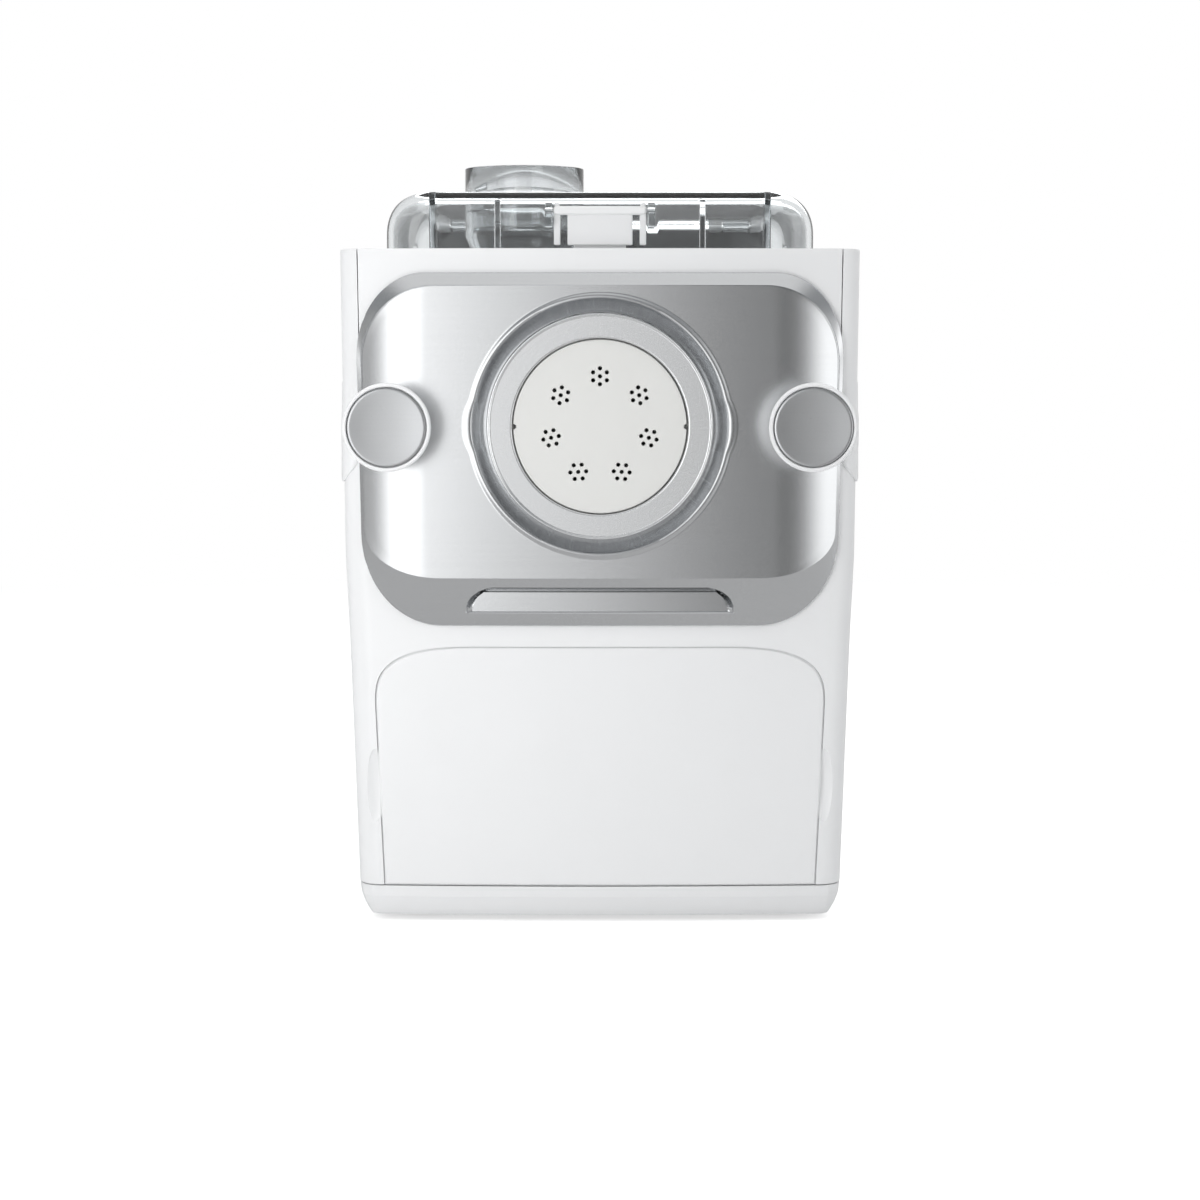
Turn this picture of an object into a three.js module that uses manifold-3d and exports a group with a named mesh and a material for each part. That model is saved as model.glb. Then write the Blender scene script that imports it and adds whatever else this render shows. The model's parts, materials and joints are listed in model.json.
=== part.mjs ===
// Electric pasta maker: a clear-lidded mixing chamber over a slide-out drawer,
// with a screw press that pushes dough through a disc in the removable front.
// Millimetres; X to the right, Y to the back, Z up; the origin is under the middle.
import * as THREE from "three";
import { mergeVertices } from "three/addons/utils/BufferGeometryUtils.js";
import Module from "manifold-3d";

const wasm = await Module();
wasm.setup();

// Whole machine
const overallDepth = 400;
const bodyWidth = 240;
const deckHeight = 313;
const knobReach = 30;
const footHeight = 3;
const bandHeight = 14.5;
const wall = 3;
const seam = 0.5;
const fit = 0.3;
const running = 0.6;
const overrun = 4;
const frontBow = 4.5;
const bodyCorner = 12;
const sideTaperShares = [[0, 0.942], [0.4, 0.975], [0.52, 0.988], [1, 1]];
const half = bodyWidth / 2;
const rearY = overallDepth / 2;
const frontY = knobReach - rearY;
const bandTop = footHeight + bandHeight;
const shellLow = bandTop + seam;
const deckLow = deckHeight - wall;
const roundSides = 28;
const smallSides = 12;
const rightAngle = Math.PI / 2;

// Drive line, shared by chamber, screw, disc, ring and knobs
const axisDrop = 81;
const axisHeight = deckHeight - axisDrop;

// Front plate, its carrier and the finger grip
const plateSide = 9;
const plateDraw = 1.5;
const plateAboveGap = 11.7;
const plateBelowAxis = 91.4;
const plateWidth = bodyWidth - 2 * plateSide;
const plateLowWidth = plateWidth - 2 * plateDraw;
const plateTop = deckHeight - plateAboveGap;
const plateBottom = axisHeight - plateBelowAxis;
const plateProud = 7;
const plateEdge = 1.6;
const plateFlatShare = 0.72;
const plateBevelTall = 5.3;
const plateSlopeTall = 21.9;
const topCornerWide = 31;
const topCornerTall = 38;
const lowCornerWide = 37;
const lowCornerTall = 43;
const carrierThick = 5;
const carrierLip = 12;
const gripSide = 49;
const gripDraw = 15;
const gripSill = 5.2;
const gripTall = 11.9;
const gripWidth = plateWidth - 2 * gripSide;
const gripTopWidth = gripWidth - 2 * gripDraw;
const gripLow = plateBottom + gripSill;
const gripHigh = gripLow + gripTall;
const gripDepth = 14;
const gripWall = 2;
const dishRadius = 57.9;
const dishDepth = 6;

// Fixing ring and shaping disc; their fronts and backs are distances in front of the middle
const ringRadius = 51.5;
const ringProud = 14;
const ringSunk = 6;
const ringFront = ringProud - frontY;
const ringBack = -ringSunk - frontY;
const ringLip = 5.5;
const ringBevel = 1.1;
const discRadius = 39.4;
const discFlange = 43;
const discProud = 12.5;
const discSeat = 4;
const discFront = discProud - frontY;
const discBack = discSeat - frontY;
const discStep = 4;
const groupCircle = 22.8;
const groupCount = 7;
const strandHole = 1.6;
const strandPitch = 3.6;
const strandCount = 7;
const discNotch = 2;

// Clamp knobs at both sides
const knobSide = 24.3;
const knobOffset = half - knobSide;
const knobRadius = 20;
const knobRootRadius = 18.4;
const knobCapRadius = 17.6;
const knobCapThick = 2.4;
const knobClear = 6;
const knobBack = knobClear - frontY;
const clampScrewRadius = 4.5;
const clampScrewDeep = 34;
const clampScrewEnd = -clampScrewDeep - frontY;
const clampSocket = 12;
const nutAcross = 17;
const nutThick = 9;
const shoulderRadius = 21;
const shoulderDrop = 3;
const shoulderHeight = axisHeight - shoulderDrop;
const shoulderTall = 23;
const shoulderReach = 1.4;
const shoulderLength = 130;
const shoulderBackShare = 0.6;
const shoulderTallShares = [0.6, 0.9, 1, 0.62];
const shoulderSquareShare = 0.6;

// Mixing chamber and extrusion tube
const chamberSet = 42;
const driveRoom = 173;
const mouthSide = 36;
const troughRadius = 58;
const troughWall = 3;
const troughFront = frontY + chamberSet;
const troughBack = rearY - driveRoom;
const mouthWidth = bodyWidth - 2 * mouthSide;
const rimWide = 5;
const tubeRadius = 31;
const tubeWall = 3.5;
const tubeFlangeThick = 4;

// Screw, paddle and shaft
const shaftRadius = 6.5;
const screwCore = 10;
const screwShare = 0.4387;
const screwStart = troughFront + screwShare * (troughBack - troughFront);
const screwClear = 2;
const screwFront = screwClear - discBack;
const screwPitch = 27;
const flightThick = 4;
const flightSteps = 12;
const screwPin = 4;
const screwPinLength = 7;
const hubRadius = 13;
const hubShort = 9;
const hubBack = troughBack - hubShort;
const paddleClear = 8;
const paddleReach = troughRadius - paddleClear;
const paddleBar = 9;
const sealRadius = 12;
const sealThick = 4;
const shaftSocket = 20;

// Gear train
const outputTeeth = 48;
const pinionTeeth = 14;
const idlerTeeth = 50;
const slowModule = 1.75;
const fastModule = 1.5;
const gearBacklash = 0.12;
const slowFace = 12;
const fastFace = 8;
const gearGap = 15;
const gearStart = troughBack + gearGap;
const stageGap = 1.4;
const fastStart = gearStart + slowFace + stageGap;
const axleRadius = 4;
const caseWall = 3;
const caseDeep = 28;
const caseRear = gearStart + caseDeep;
const gearRoom = 3;
const idlerHeight = axisHeight - slowModule * (outputTeeth + pinionTeeth) / 2;
const motorHeight = idlerHeight - fastModule * (idlerTeeth + pinionTeeth) / 2;

// Motor
const motorRadius = 38;
const motorGap = 9;
const motorRearRoom = 33;
const motorStart = caseRear + motorGap;
const motorLength = rearY - motorRearRoom - motorStart;
const motorNose = 2;
const motorShaftRadius = 4;
const fanClear = 7;
const fanRadius = motorRadius - fanClear;
const fanThick = 10;
const fanBlades = 9;
const cradleWideShare = 0.7;
const cradleEndShare = 0.2;

// Chassis and front bulkhead
const shelfDrop = 100;
const shelfHeight = axisHeight - shelfDrop;
const chassisThick = 3;
const chassisSide = 18;
const chassisWidth = bodyWidth - 2 * chassisSide;
const bulkheadGap = 4;
const bulkheadY = troughBack + bulkheadGap;
const frontBulkheadSet = 13;
const frontBulkheadY = frontY + frontBulkheadSet;
const frontBulkheadThick = 4;
const saddleThick = 4;
const saddleTopShare = 0.65;

// Drawer
const drawerSide = 16;
const drawerDraw = 3.7;
const drawerGap = 2.4;
const drawerWidth = bodyWidth - 2 * drawerSide;
const drawerLowWidth = drawerWidth - 2 * drawerDraw;
const drawerTop = shelfHeight - drawerGap;
const drawerCornerWide = 50;
const drawerCornerTall = 27;
const drawerFrontThick = 4;
const traySide = 27;
const trayGap = 8;
const trayDrop = 16;
const trayWidth = bodyWidth - 2 * traySide;
const trayBack = bulkheadY - trayGap;
const trayTop = shelfHeight - trayDrop;
const trayWall = 2.5;
const railHeight = 18;
const railThick = 4;
const scoopHighShare = 0.575;
const scoopLowShare = 0.268;
const scoopHigh = bandTop + scoopHighShare * (drawerTop - bandTop);
const scoopLow = bandTop + scoopLowShare * (drawerTop - bandTop);
const scoopWide = 4.5;
const scoopDeep = 8;

// Lid, inlet cup and latch
const lidSide = 20;
const lidFrontGap = 20;
const lidBackGap = 13;
const lidRise = 27;
const lidWidth = bodyWidth - 2 * lidSide;
const lidFront = frontY + lidFrontGap;
const lidBack = troughBack + lidBackGap;
const lidTop = deckHeight + lidRise;
const lidWall = 2.8;
const lidRound = 20;
const lidCorner = 20;
const cupXShare = -0.1875;
const cupYShare = 0.4737;
const cupX = cupXShare * lidWidth;
const cupY = lidFront + cupYShare * (lidBack - lidFront);
const cupRadius = 29.4;
const cupRise = 16.6;
const cupTop = lidTop + cupRise;
const cupWall = 2;
const spigotRadius = 26;
const spigotDrop = 14;
const spigotLow = lidTop - spigotDrop;
const funnelDrop = 34;
const funnelLow = lidTop - funnelDrop;
const funnelRadius = 20;
const hingeSet = 5.5;
const hingeDrop = 2;
const hingeY = lidBack + hingeSet;
const hingeZ = lidTop - hingeDrop;
const knuckleRadius = 4.5;
const knuckleSide = 34;
const knuckleOffset = lidWidth / 2 - knuckleSide;
const knuckleWidth = 14;
const lugWidth = 7;
const hingePinRadius = 1.5;
const latchWidth = 42.6;
const latchDrop = 7.3;
const latchBarTall = 3.9;
const latchClear = 2;
const latchBarHigh = lidTop - latchDrop;
const latchBarLow = latchBarHigh - latchBarTall;
const latchLow = deckHeight + latchClear;
const latchPost = 3;
const latchPanel = 30;
const latchBarThick = 5;
const latchGap = 3.8;
const latchPinLength = 3.4;
const latchThick = 2.4;
const latchPinRadius = 1.2;
const latchLugWide = 3.4;
const latchPinY = lidFront - latchGap - latchBarThick / 2;
const latchPinZ = (latchBarHigh + latchBarLow) / 2;
const keeperWidth = 24;
const keeperTall = 5;

// Control housing on the rear deck
const controlSide = 26;
const controlGap = 11;
const controlRise = 1;
const controlWidth = bodyWidth - 2 * controlSide;
const controlFront = lidBack + controlGap;
const controlTop = lidTop + controlRise;
const controlTopThick = 5;
const controlEase = 2;
const controlRound = 14;
const controlWall = 2.6;
const glassSide = 19;
const glassSet = 41;
const glassRear = 18;
const controlGlassWidth = controlWidth - 2 * glassSide;
const controlGlassFront = controlFront + glassSet;
const controlGlassBack = rearY - glassRear;
const controlGlassThick = 2.5;
const controlGlassDepth = controlGlassBack - controlGlassFront;
const windowSide = 44;
const windowDepthShare = 0.2667;
const windowPlaceShare = 0.7333;
const windowWidth = controlGlassWidth - 2 * windowSide;
const windowDepth = windowDepthShare * controlGlassDepth;
const windowY = controlGlassFront + windowPlaceShare * controlGlassDepth;
const buttonPlaceShare = 0.2889;
const buttonSide = 17;
const buttonCount = 5;
const buttonY = controlGlassFront + buttonPlaceShare * controlGlassDepth;
const buttonPitch = (controlGlassWidth - 2 * buttonSide) / (buttonCount - 1);
const buttonRadius = 8.5;
const buttonRise = 1.6;
const buttonStem = 6;
const buttonTravel = 1.2;
const boardThick = 1.6;
const recessFloor = controlTop - controlGlassThick - fit;
const stemLow = controlTop - controlTopThick - controlEase;
const buttonPlaces = Array.from({ length: buttonCount }, (_, index) => {
  return (index - (buttonCount - 1) / 2) * buttonPitch;
});

// Rear cover, vents and cord inlet
const coverSide = 25;
const coverSill = 16.5;
const coverDrop = 27;
const coverWidth = bodyWidth - 2 * coverSide;
const coverLow = bandTop + coverSill;
const coverHigh = deckHeight - coverDrop;
const coverLip = 4;
const ventCount = 9;
const ventHeight = 3.5;
const ventPitch = 9;
const ventSpare = 33;
const ventGap = 9;
const ventDrop = 110;
const ventWidth = coverWidth / 2 - ventSpare;
const ventX = ventGap + ventWidth / 2;
const ventLow = coverHigh - ventDrop;
const inletSide = 33;
const inletRise = 24;
const inletX = coverWidth / 2 - inletSide;
const inletZ = coverLow + inletRise;
const inletRadius = 9;
const inletBore = 4.2;

// Base and feet
const bandInset = 5.2;
const floorThick = 3;
const lipTall = 2.5;
const floorTop = bandTop + lipTall;
const footRadius = 12;
const footSide = 36;
const footSet = 32;
const footX = half - footSide;
const footFrontY = frontY + footSet;
const footRearY = rearY - footSet;

const machine = new THREE.Group();

// Turning three.js geometry into solids that can be joined and cut

function fill(geometry) {
  const loose = geometry.index ? geometry.toNonIndexed() : geometry;
  loose.deleteAttribute("normal");
  loose.deleteAttribute("uv");
  const merged = mergeVertices(loose);
  const corners = merged.index.array;
  const triangles = [];
  for (let i = 0; i < corners.length; i += 3) {
    const [a, b, c] = corners.slice(i, i + 3);
    if (a !== b && b !== c && c !== a) {
      triangles.push(a, b, c);
    }
  }
  const mesh = new wasm.Mesh({
    numProp: 3,
    vertProperties: new Float32Array(merged.attributes.position.array),
    triVerts: new Uint32Array(triangles),
  });
  return new wasm.Manifold(mesh);
}

function joined(first, ...others) {
  return others.reduce((sum, other) => sum.add(other), first);
}

function cut(first, ...others) {
  return others.reduce((rest, other) => rest.subtract(other), first);
}

function piece(name, solid, color, roughness, metalness, opacity = 1) {
  const found = solid.getMesh();
  const geometry = new THREE.BufferGeometry();
  const places = new THREE.BufferAttribute(new Float32Array(found.vertProperties), 3);
  geometry.setAttribute("position", places);
  geometry.setIndex(new THREE.BufferAttribute(new Uint32Array(found.triVerts), 1));
  geometry.computeVertexNormals();
  const material = new THREE.MeshStandardMaterial({
    color,
    roughness,
    metalness,
    opacity,
    transparent: opacity < 1,
    flatShading: true,
  });
  const mesh = new THREE.Mesh(geometry, material);
  mesh.name = name;
  machine.add(mesh);
}

const white = (name, solid) => piece(name, solid, 0xf1f2f3, 0.35, 0);
const silver = (name, solid) => piece(name, solid, 0xb4b7ba, 0.38, 0.85);
const clear = (name, solid) => piece(name, solid, 0xdbe3e8, 0.08, 0, 0.35);
const steel = (name, solid) => piece(name, solid, 0x9fa3a8, 0.35, 1);
const dark = (name, solid) => piece(name, solid, 0x2c2e31, 0.5, 0);
const nylon = (name, solid) => piece(name, solid, 0xe4e1d6, 0.5, 0);

// Basic forms: blocks, round bars, turned profiles and extruded outlines

function box(xa, xb, ya, yb, za, zb) {
  const block = new THREE.BoxGeometry(Math.abs(xb - xa), Math.abs(yb - ya), Math.abs(zb - za));
  block.translate((xa + xb) / 2, (ya + yb) / 2, (za + zb) / 2);
  return fill(block);
}

function turned(profile, sides) {
  const points = profile.map(([radius, along]) => new THREE.Vector2(radius, along));
  if (THREE.ShapeUtils.area(points) < 0) {
    points.reverse();
  }
  const onAxis = points[0].x === 0 && points[points.length - 1].x === 0;
  if (!onAxis) {
    points.push(points[0].clone());
  }
  return new THREE.LatheGeometry(points, sides);
}

function turnedY(profile, x, z, sides = roundSides) {
  return fill(turned(profile, sides).translate(x, 0, z));
}

function turnedZ(profile, x, y, sides = roundSides) {
  return fill(turned(profile, sides).rotateX(rightAngle).translate(x, y, 0));
}

function rodY(x, z, radius, from, to, sides = roundSides) {
  return turnedY([[0, from], [radius, from], [radius, to], [0, to]], x, z, sides);
}

function rodZ(x, y, radius, from, to, sides = roundSides) {
  return turnedZ([[0, from], [radius, from], [radius, to], [0, to]], x, y, sides);
}

function rodX(y, z, radius, from, to, sides = smallSides) {
  const bar = turned([[0, from], [radius, from], [radius, to], [0, to]], sides);
  return fill(bar.rotateZ(-rightAngle).translate(0, y, z));
}

function outline(points) {
  return new THREE.Shape(points.map(([x, y]) => new THREE.Vector2(x, y)));
}

function roundedBox(left, right, low, high, radius) {
  const shape = new THREE.Shape();
  shape.absarc(right - radius, low + radius, radius, -rightAngle, 0, false);
  shape.absarc(right - radius, high - radius, radius, 0, rightAngle, false);
  shape.absarc(left + radius, high - radius, radius, rightAngle, Math.PI, false);
  shape.absarc(left + radius, low + radius, radius, Math.PI, 3 * rightAngle, false);
  return shape;
}

function extruded(shape, from, to, arcSteps) {
  const settings = { depth: to - from, bevelEnabled: false, curveSegments: arcSteps };
  return new THREE.ExtrudeGeometry(shape, settings).translate(0, 0, from);
}

function upright(shape, from, to, arcSteps = 2) {
  return fill(extruded(shape, from, to, arcSteps));
}

function facing(shape, from, to, arcSteps = 2) {
  return fill(extruded(shape, -to, -from, arcSteps).rotateX(rightAngle));
}

function sideways(shape, from, to, arcSteps = 2) {
  const turn = new THREE.Matrix4().set(0, 0, 1, 0, 1, 0, 0, 0, 0, 1, 0, 0, 0, 0, 0, 1);
  return fill(extruded(shape, from, to, arcSteps).applyMatrix4(turn));
}

function loft(sections) {
  const count = sections[0].points.length;
  const places = [];
  const indices = [];
  for (const { points, level } of sections) {
    points.forEach((point) => places.push(point.x, point.y, level));
  }
  for (let row = 0; row < sections.length - 1; row += 1) {
    for (let i = 0; i < count; i += 1) {
      const a = row * count + i;
      const b = row * count + (i + 1) % count;
      indices.push(a, b, b + count, a, b + count, a + count);
    }
  }
  const top = (sections.length - 1) * count;
  for (const [a, b, c] of THREE.ShapeUtils.triangulateShape(sections[0].points, [])) {
    indices.push(a, c, b);
  }
  for (const [a, b, c] of THREE.ShapeUtils.triangulateShape(sections.at(-1).points, [])) {
    indices.push(top + a, top + b, top + c);
  }
  const geometry = new THREE.BufferGeometry();
  geometry.setAttribute("position", new THREE.Float32BufferAttribute(places, 3));
  geometry.setIndex(indices);
  return geometry;
}

// The body's plan: a bowed front, four rounded corners and a flat back

function frontFace(x) {
  return frontY + frontBow * (x / half) ** 2;
}

function arcPoints(x, y, radius, from, steps) {
  const points = [];
  for (let i = 0; i <= steps; i += 1) {
    const angle = from + rightAngle * i / steps;
    points.push(new THREE.Vector2(x + radius * Math.cos(angle), y + radius * Math.sin(angle)));
  }
  return points;
}

function bodySection(sectionHalf, inset) {
  const frontSteps = 8;
  const cornerSteps = 3;
  const radius = Math.max(bodyCorner - inset, wall / 3);
  const x = sectionHalf - inset - radius;
  const frontCentre = frontFace(x) + inset + radius;
  const rearCentre = rearY - inset - radius;
  const points = [];
  for (let i = 1; i < frontSteps; i += 1) {
    const across = x * (2 * i / frontSteps - 1);
    points.push(new THREE.Vector2(across, frontFace(across) + inset));
  }
  points.push(...arcPoints(x, frontCentre, radius, -rightAngle, cornerSteps));
  points.push(...arcPoints(x, rearCentre, radius, 0, cornerSteps));
  points.push(...arcPoints(-x, rearCentre, radius, rightAngle, cornerSteps));
  points.push(...arcPoints(-x, frontCentre, radius, Math.PI, cornerSteps));
  return points;
}

function bodyHalf(z) {
  const share = THREE.MathUtils.clamp((z - shellLow) / (deckHeight - shellLow), 0, 1);
  for (let i = 1; i < sideTaperShares.length; i += 1) {
    const [from, fromWidth] = sideTaperShares[i - 1];
    const [to, toWidth] = sideTaperShares[i];
    if (share <= to) {
      return half * (fromWidth + (toWidth - fromWidth) * (share - from) / (to - from));
    }
  }
  return half;
}

function taperedBody(inset, low, high) {
  const levels = sideTaperShares.map(([share]) => shellLow + share * (deckHeight - shellLow));
  const between = levels.filter((level) => level > low && level < high);
  const sections = [low, ...between, high].map((level) => {
    return { points: bodySection(bodyHalf(level), inset), level };
  });
  return fill(loft(sections));
}

// A slab that follows the bowed front, from one offset to another

function bowedSlab(outer, inner, low, high) {
  const steps = 16;
  const reach = half + overrun;
  const front = [];
  const back = [];
  for (let i = 0; i <= steps; i += 1) {
    const x = reach * (2 * i / steps - 1);
    front.push([x, outer(x)]);
    back.unshift([x, inner(x)]);
  }
  return upright(outline([...front, ...back]), low, high);
}

function plateFace(x) {
  const flat = plateFlatShare * plateWidth / 2;
  const bent = Math.max(0, Math.abs(x) - flat) / (plateWidth / 2 - flat);
  return frontFace(x) - plateProud + (plateProud - plateEdge) * Math.min(bent * bent, 1);
}

// The outline that the silver plate and the opening behind it share

function plateShape(grow, squareTop) {
  const halfTop = plateWidth / 2 + grow;
  const halfLow = plateLowWidth / 2 + grow;
  const low = plateBottom - grow;
  const high = plateTop + grow;
  const lowX = halfLow - lowCornerWide;
  const lowY = low + lowCornerTall;
  const shape = new THREE.Shape();
  shape.absellipse(lowX, lowY, lowCornerWide, lowCornerTall, -rightAngle, 0, false, 0);
  if (squareTop) {
    shape.lineTo(halfTop, deckHeight + grow);
    shape.lineTo(-halfTop, deckHeight + grow);
  } else {
    const topX = halfTop - topCornerWide;
    const topY = high - topCornerTall;
    shape.absellipse(topX, topY, topCornerWide, topCornerTall, 0, rightAngle, false, 0);
    shape.absellipse(-topX, topY, topCornerWide, topCornerTall, rightAngle, Math.PI, false, 0);
  }
  shape.absellipse(-lowX, lowY, lowCornerWide, lowCornerTall, Math.PI, 3 * rightAngle, false, 0);
  return shape;
}

function drawerShape(grow, low) {
  const halfTop = drawerWidth / 2 + grow;
  const halfLow = drawerLowWidth / 2 + grow;
  const x = halfTop - drawerCornerWide;
  const z = drawerTop + grow - drawerCornerTall;
  const shape = new THREE.Shape();
  shape.moveTo(-halfLow, low);
  shape.lineTo(halfLow, low);
  shape.absellipse(x, z, drawerCornerWide, drawerCornerTall, 0, rightAngle, false, 0);
  shape.absellipse(-x, z, drawerCornerWide, drawerCornerTall, rightAngle, Math.PI, false, 0);
  return shape;
}

// White outer housing: side walls, deck, knob shoulders and finger scoops

function shoulderRing(side, reach, tall, y) {
  const steps = 24;
  const wide = shoulderRadius;
  const points = [];
  for (let i = 0; i < steps; i += 1) {
    const angle = 2 * Math.PI * i / steps;
    const across = Math.sign(Math.cos(angle)) * Math.abs(Math.cos(angle)) ** shoulderSquareShare;
    const up = Math.sign(Math.sin(angle)) * Math.abs(Math.sin(angle)) ** shoulderSquareShare;
    points.push(new THREE.Vector2(side * (reach - wide) + wide * across, shoulderHeight + tall * up));
  }
  return { points, level: -y };
}

function knobShoulder(side) {
  const front = frontFace(knobOffset) + seam;
  const proud = bodyHalf(shoulderHeight) + shoulderReach;
  const sunk = bodyHalf(shoulderHeight) - wall / 2;
  const places = [
    [sunk, front + shoulderLength],
    [proud, front + shoulderLength * shoulderBackShare],
    [proud, front + bodyCorner],
    [sunk - bodyCorner / 2, front],
  ];
  const sections = places.map(([reach, y], index) => {
    return shoulderRing(side, reach, shoulderTall * shoulderTallShares[index], y);
  });
  return fill(loft(sections).rotateX(rightAngle));
}

function fingerScoop(side) {
  const x = side * (drawerWidth / 2 + seam);
  const middle = (scoopHigh + scoopLow) / 2;
  const hollow = new THREE.SphereGeometry(1, 16, 12);
  hollow.scale(scoopWide, scoopDeep, (scoopHigh - scoopLow) / 2);
  return fill(hollow.translate(x, frontFace(drawerWidth / 2), middle));
}

function scoopBacking(side) {
  const inner = side * (drawerWidth / 2 + seam);
  const outer = side * (bodyHalf(scoopLow) - wall / 2);
  const front = frontFace(drawerWidth / 2) + wall / 2;
  const block = box(inner, outer, front, front + scoopDeep, scoopLow - wall, scoopHigh + wall);
  return block.intersect(taperedBody(wall / 2, shellLow, drawerTop));
}

function deckOpening() {
  const reach = mouthWidth / 2 + troughWall;
  const front = troughFront - troughWall;
  const shape = roundedBox(-reach, reach, front, troughBack + troughWall, bodyCorner);
  return upright(shape, deckLow - overrun, deckHeight + overrun);
}

function frontOpenings() {
  const from = frontY - overrun;
  const to = frontFace(half) + wall + overrun;
  const lip = plateWidth / 2 + seam;
  return joined(
    facing(plateShape(seam, true), from, to),
    facing(drawerShape(seam, shellLow - overrun), from, to, 4),
    box(-lip, lip, from, frontY + carrierLip + seam, deckLow - overrun, deckHeight + overrun),
  );
}

function coverOpening(grow) {
  const reach = coverWidth / 2 + grow;
  return roundedBox(-reach, reach, coverLow - grow, coverHigh + grow, bodyCorner);
}

function makeHousing() {
  const shell = cut(
    joined(taperedBody(0, shellLow, deckHeight), knobShoulder(-1), knobShoulder(1)),
    taperedBody(wall, shellLow - overrun, deckLow),
    frontOpenings(),
    deckOpening(),
    facing(coverOpening(fit), rearY - wall - overrun, rearY + overrun),
  );
  const keeperY = lidFront - wall;
  const keeperBack = lidFront - 2 * running;
  const keeper = box(
    -keeperWidth / 2,
    keeperWidth / 2,
    keeperY,
    keeperBack,
    deckHeight - wall / 2,
    deckHeight + keeperTall,
  );
  const backed = joined(shell, scoopBacking(-1), scoopBacking(1), keeper);
  white("housing_shell", cut(backed, fingerScoop(-1), fingerScoop(1)));
}

// Base tray with its curved band, the four feet under it and the drawer rails

function makeBase() {
  const heightShares = [0, 0.15, 0.35, 0.65, 1];
  const sections = heightShares.map((share) => {
    const inset = bandInset * (1 - share) ** 2;
    return { points: bodySection(bodyHalf(shellLow), inset), level: footHeight + share * bandHeight };
  });
  const lip = taperedBody(wall + fit, bandTop - wall / 2, floorTop);
  const doorway = drawerWidth / 2 + running;
  const doorBack = frontFace(doorway) + drawerFrontThick + running;
  const inner = trayWidth / 2;
  const middle = bulkheadY + chassisThick + wall;
  const rearReach = bodyHalf(shellLow) - bodyCorner;
  const tray = cut(
    joined(fill(loft(sections)), lip),
    box(-doorway, doorway, frontY - overrun, doorBack, bandTop, deckHeight),
    box(-inner, inner, frontY + bodyCorner * 2, bulkheadY - wall, 0, floorTop - floorThick),
    box(-rearReach, rearReach, middle, rearY - bodyCorner, footHeight + floorThick, deckHeight),
  );
  white("base_tray", tray);
}

function makeFoot(name, x, y) {
  const top = footHeight - fit;
  const chamfer = footHeight / 3;
  const profile = [[0, 0], [footRadius - chamfer, 0], [footRadius, chamfer], [footRadius, top], [0, top]];
  dark(name, turnedZ(profile, x, y, smallSides));
}

function makeRail(name, side) {
  const near = trayWidth / 2 + running;
  const low = floorTop + fit;
  const back = bulkheadY - wall;
  const front = frontY + bodyCorner * 2;
  const rail = box(side * near, side * (near + railThick), front, back, low, low + railHeight);
  nylon(name, rail);
}

// Chassis: shelf over the drawer, bulkhead behind it and saddles under the chamber

function saddle(y) {
  const reach = troughRadius - 2 * saddleThick;
  const top = axisHeight - troughRadius * saddleTopShare;
  const block = box(-reach, reach, y, y + saddleThick, shelfHeight + chassisThick / 2, top);
  const room = troughRadius + troughWall + fit;
  return cut(block, rodY(0, axisHeight, room, y - overrun, y + saddleThick + overrun));
}

function makeChassis() {
  const reach = chassisWidth / 2;
  const front = frontBulkheadY + frontBulkheadThick + fit;
  const shelfTop = shelfHeight + chassisThick;
  const back = bulkheadY + chassisThick;
  const shaftHole = rodY(0, axisHeight, sealRadius + fit, bulkheadY - overrun, back + overrun);
  const plate = joined(
    box(-reach, reach, front, back, shelfHeight, shelfTop),
    box(-reach, reach, bulkheadY, back, floorTop + fit, deckLow - fit),
    saddle(front + bodyCorner * 3),
    saddle(bulkheadY - bodyCorner * 2),
  );
  steel("chassis", cut(plate, shaftHole));
}

function makeFrontBulkhead() {
  const reach = chassisWidth / 2;
  const low = shelfHeight + chassisThick + fit;
  const back = frontBulkheadY + frontBulkheadThick;
  const window = knobOffset - nutAcross;
  const from = frontBulkheadY - overrun;
  const to = back + overrun;
  const sill = axisHeight - troughRadius - troughWall;
  const holeRadius = clampScrewRadius + running;
  const frame = cut(
    box(-reach, reach, frontBulkheadY, back, low, deckLow - fit),
    box(-window, window, from, to, sill, deckHeight),
    rodY(-knobOffset, axisHeight, holeRadius, from, to, smallSides),
    rodY(knobOffset, axisHeight, holeRadius, from, to, smallSides),
  );
  white("front_bulkhead", frame);
}

function makeClampNut(name, side) {
  const from = frontBulkheadY + frontBulkheadThick + fit;
  const corner = nutAcross / 2 / Math.cos(Math.PI / 6);
  const x = side * knobOffset;
  const hole = rodY(
    x,
    axisHeight,
    clampScrewRadius + running / 2,
    from - overrun,
    from + nutThick + overrun,
    smallSides,
  );
  steel(name, cut(rodY(x, axisHeight, corner, from, from + nutThick, 6), hole));
}

// Mixing chamber: a trough with flared sides, a rim and the tube in front

function troughShape(grow, top) {
  const radius = troughRadius + grow;
  const mouth = mouthWidth / 2 + grow;
  const shape = new THREE.Shape();
  shape.moveTo(mouth, top);
  shape.lineTo(-mouth, top);
  shape.absarc(0, axisHeight, radius, Math.PI, 2 * Math.PI, false);
  return shape;
}

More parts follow.
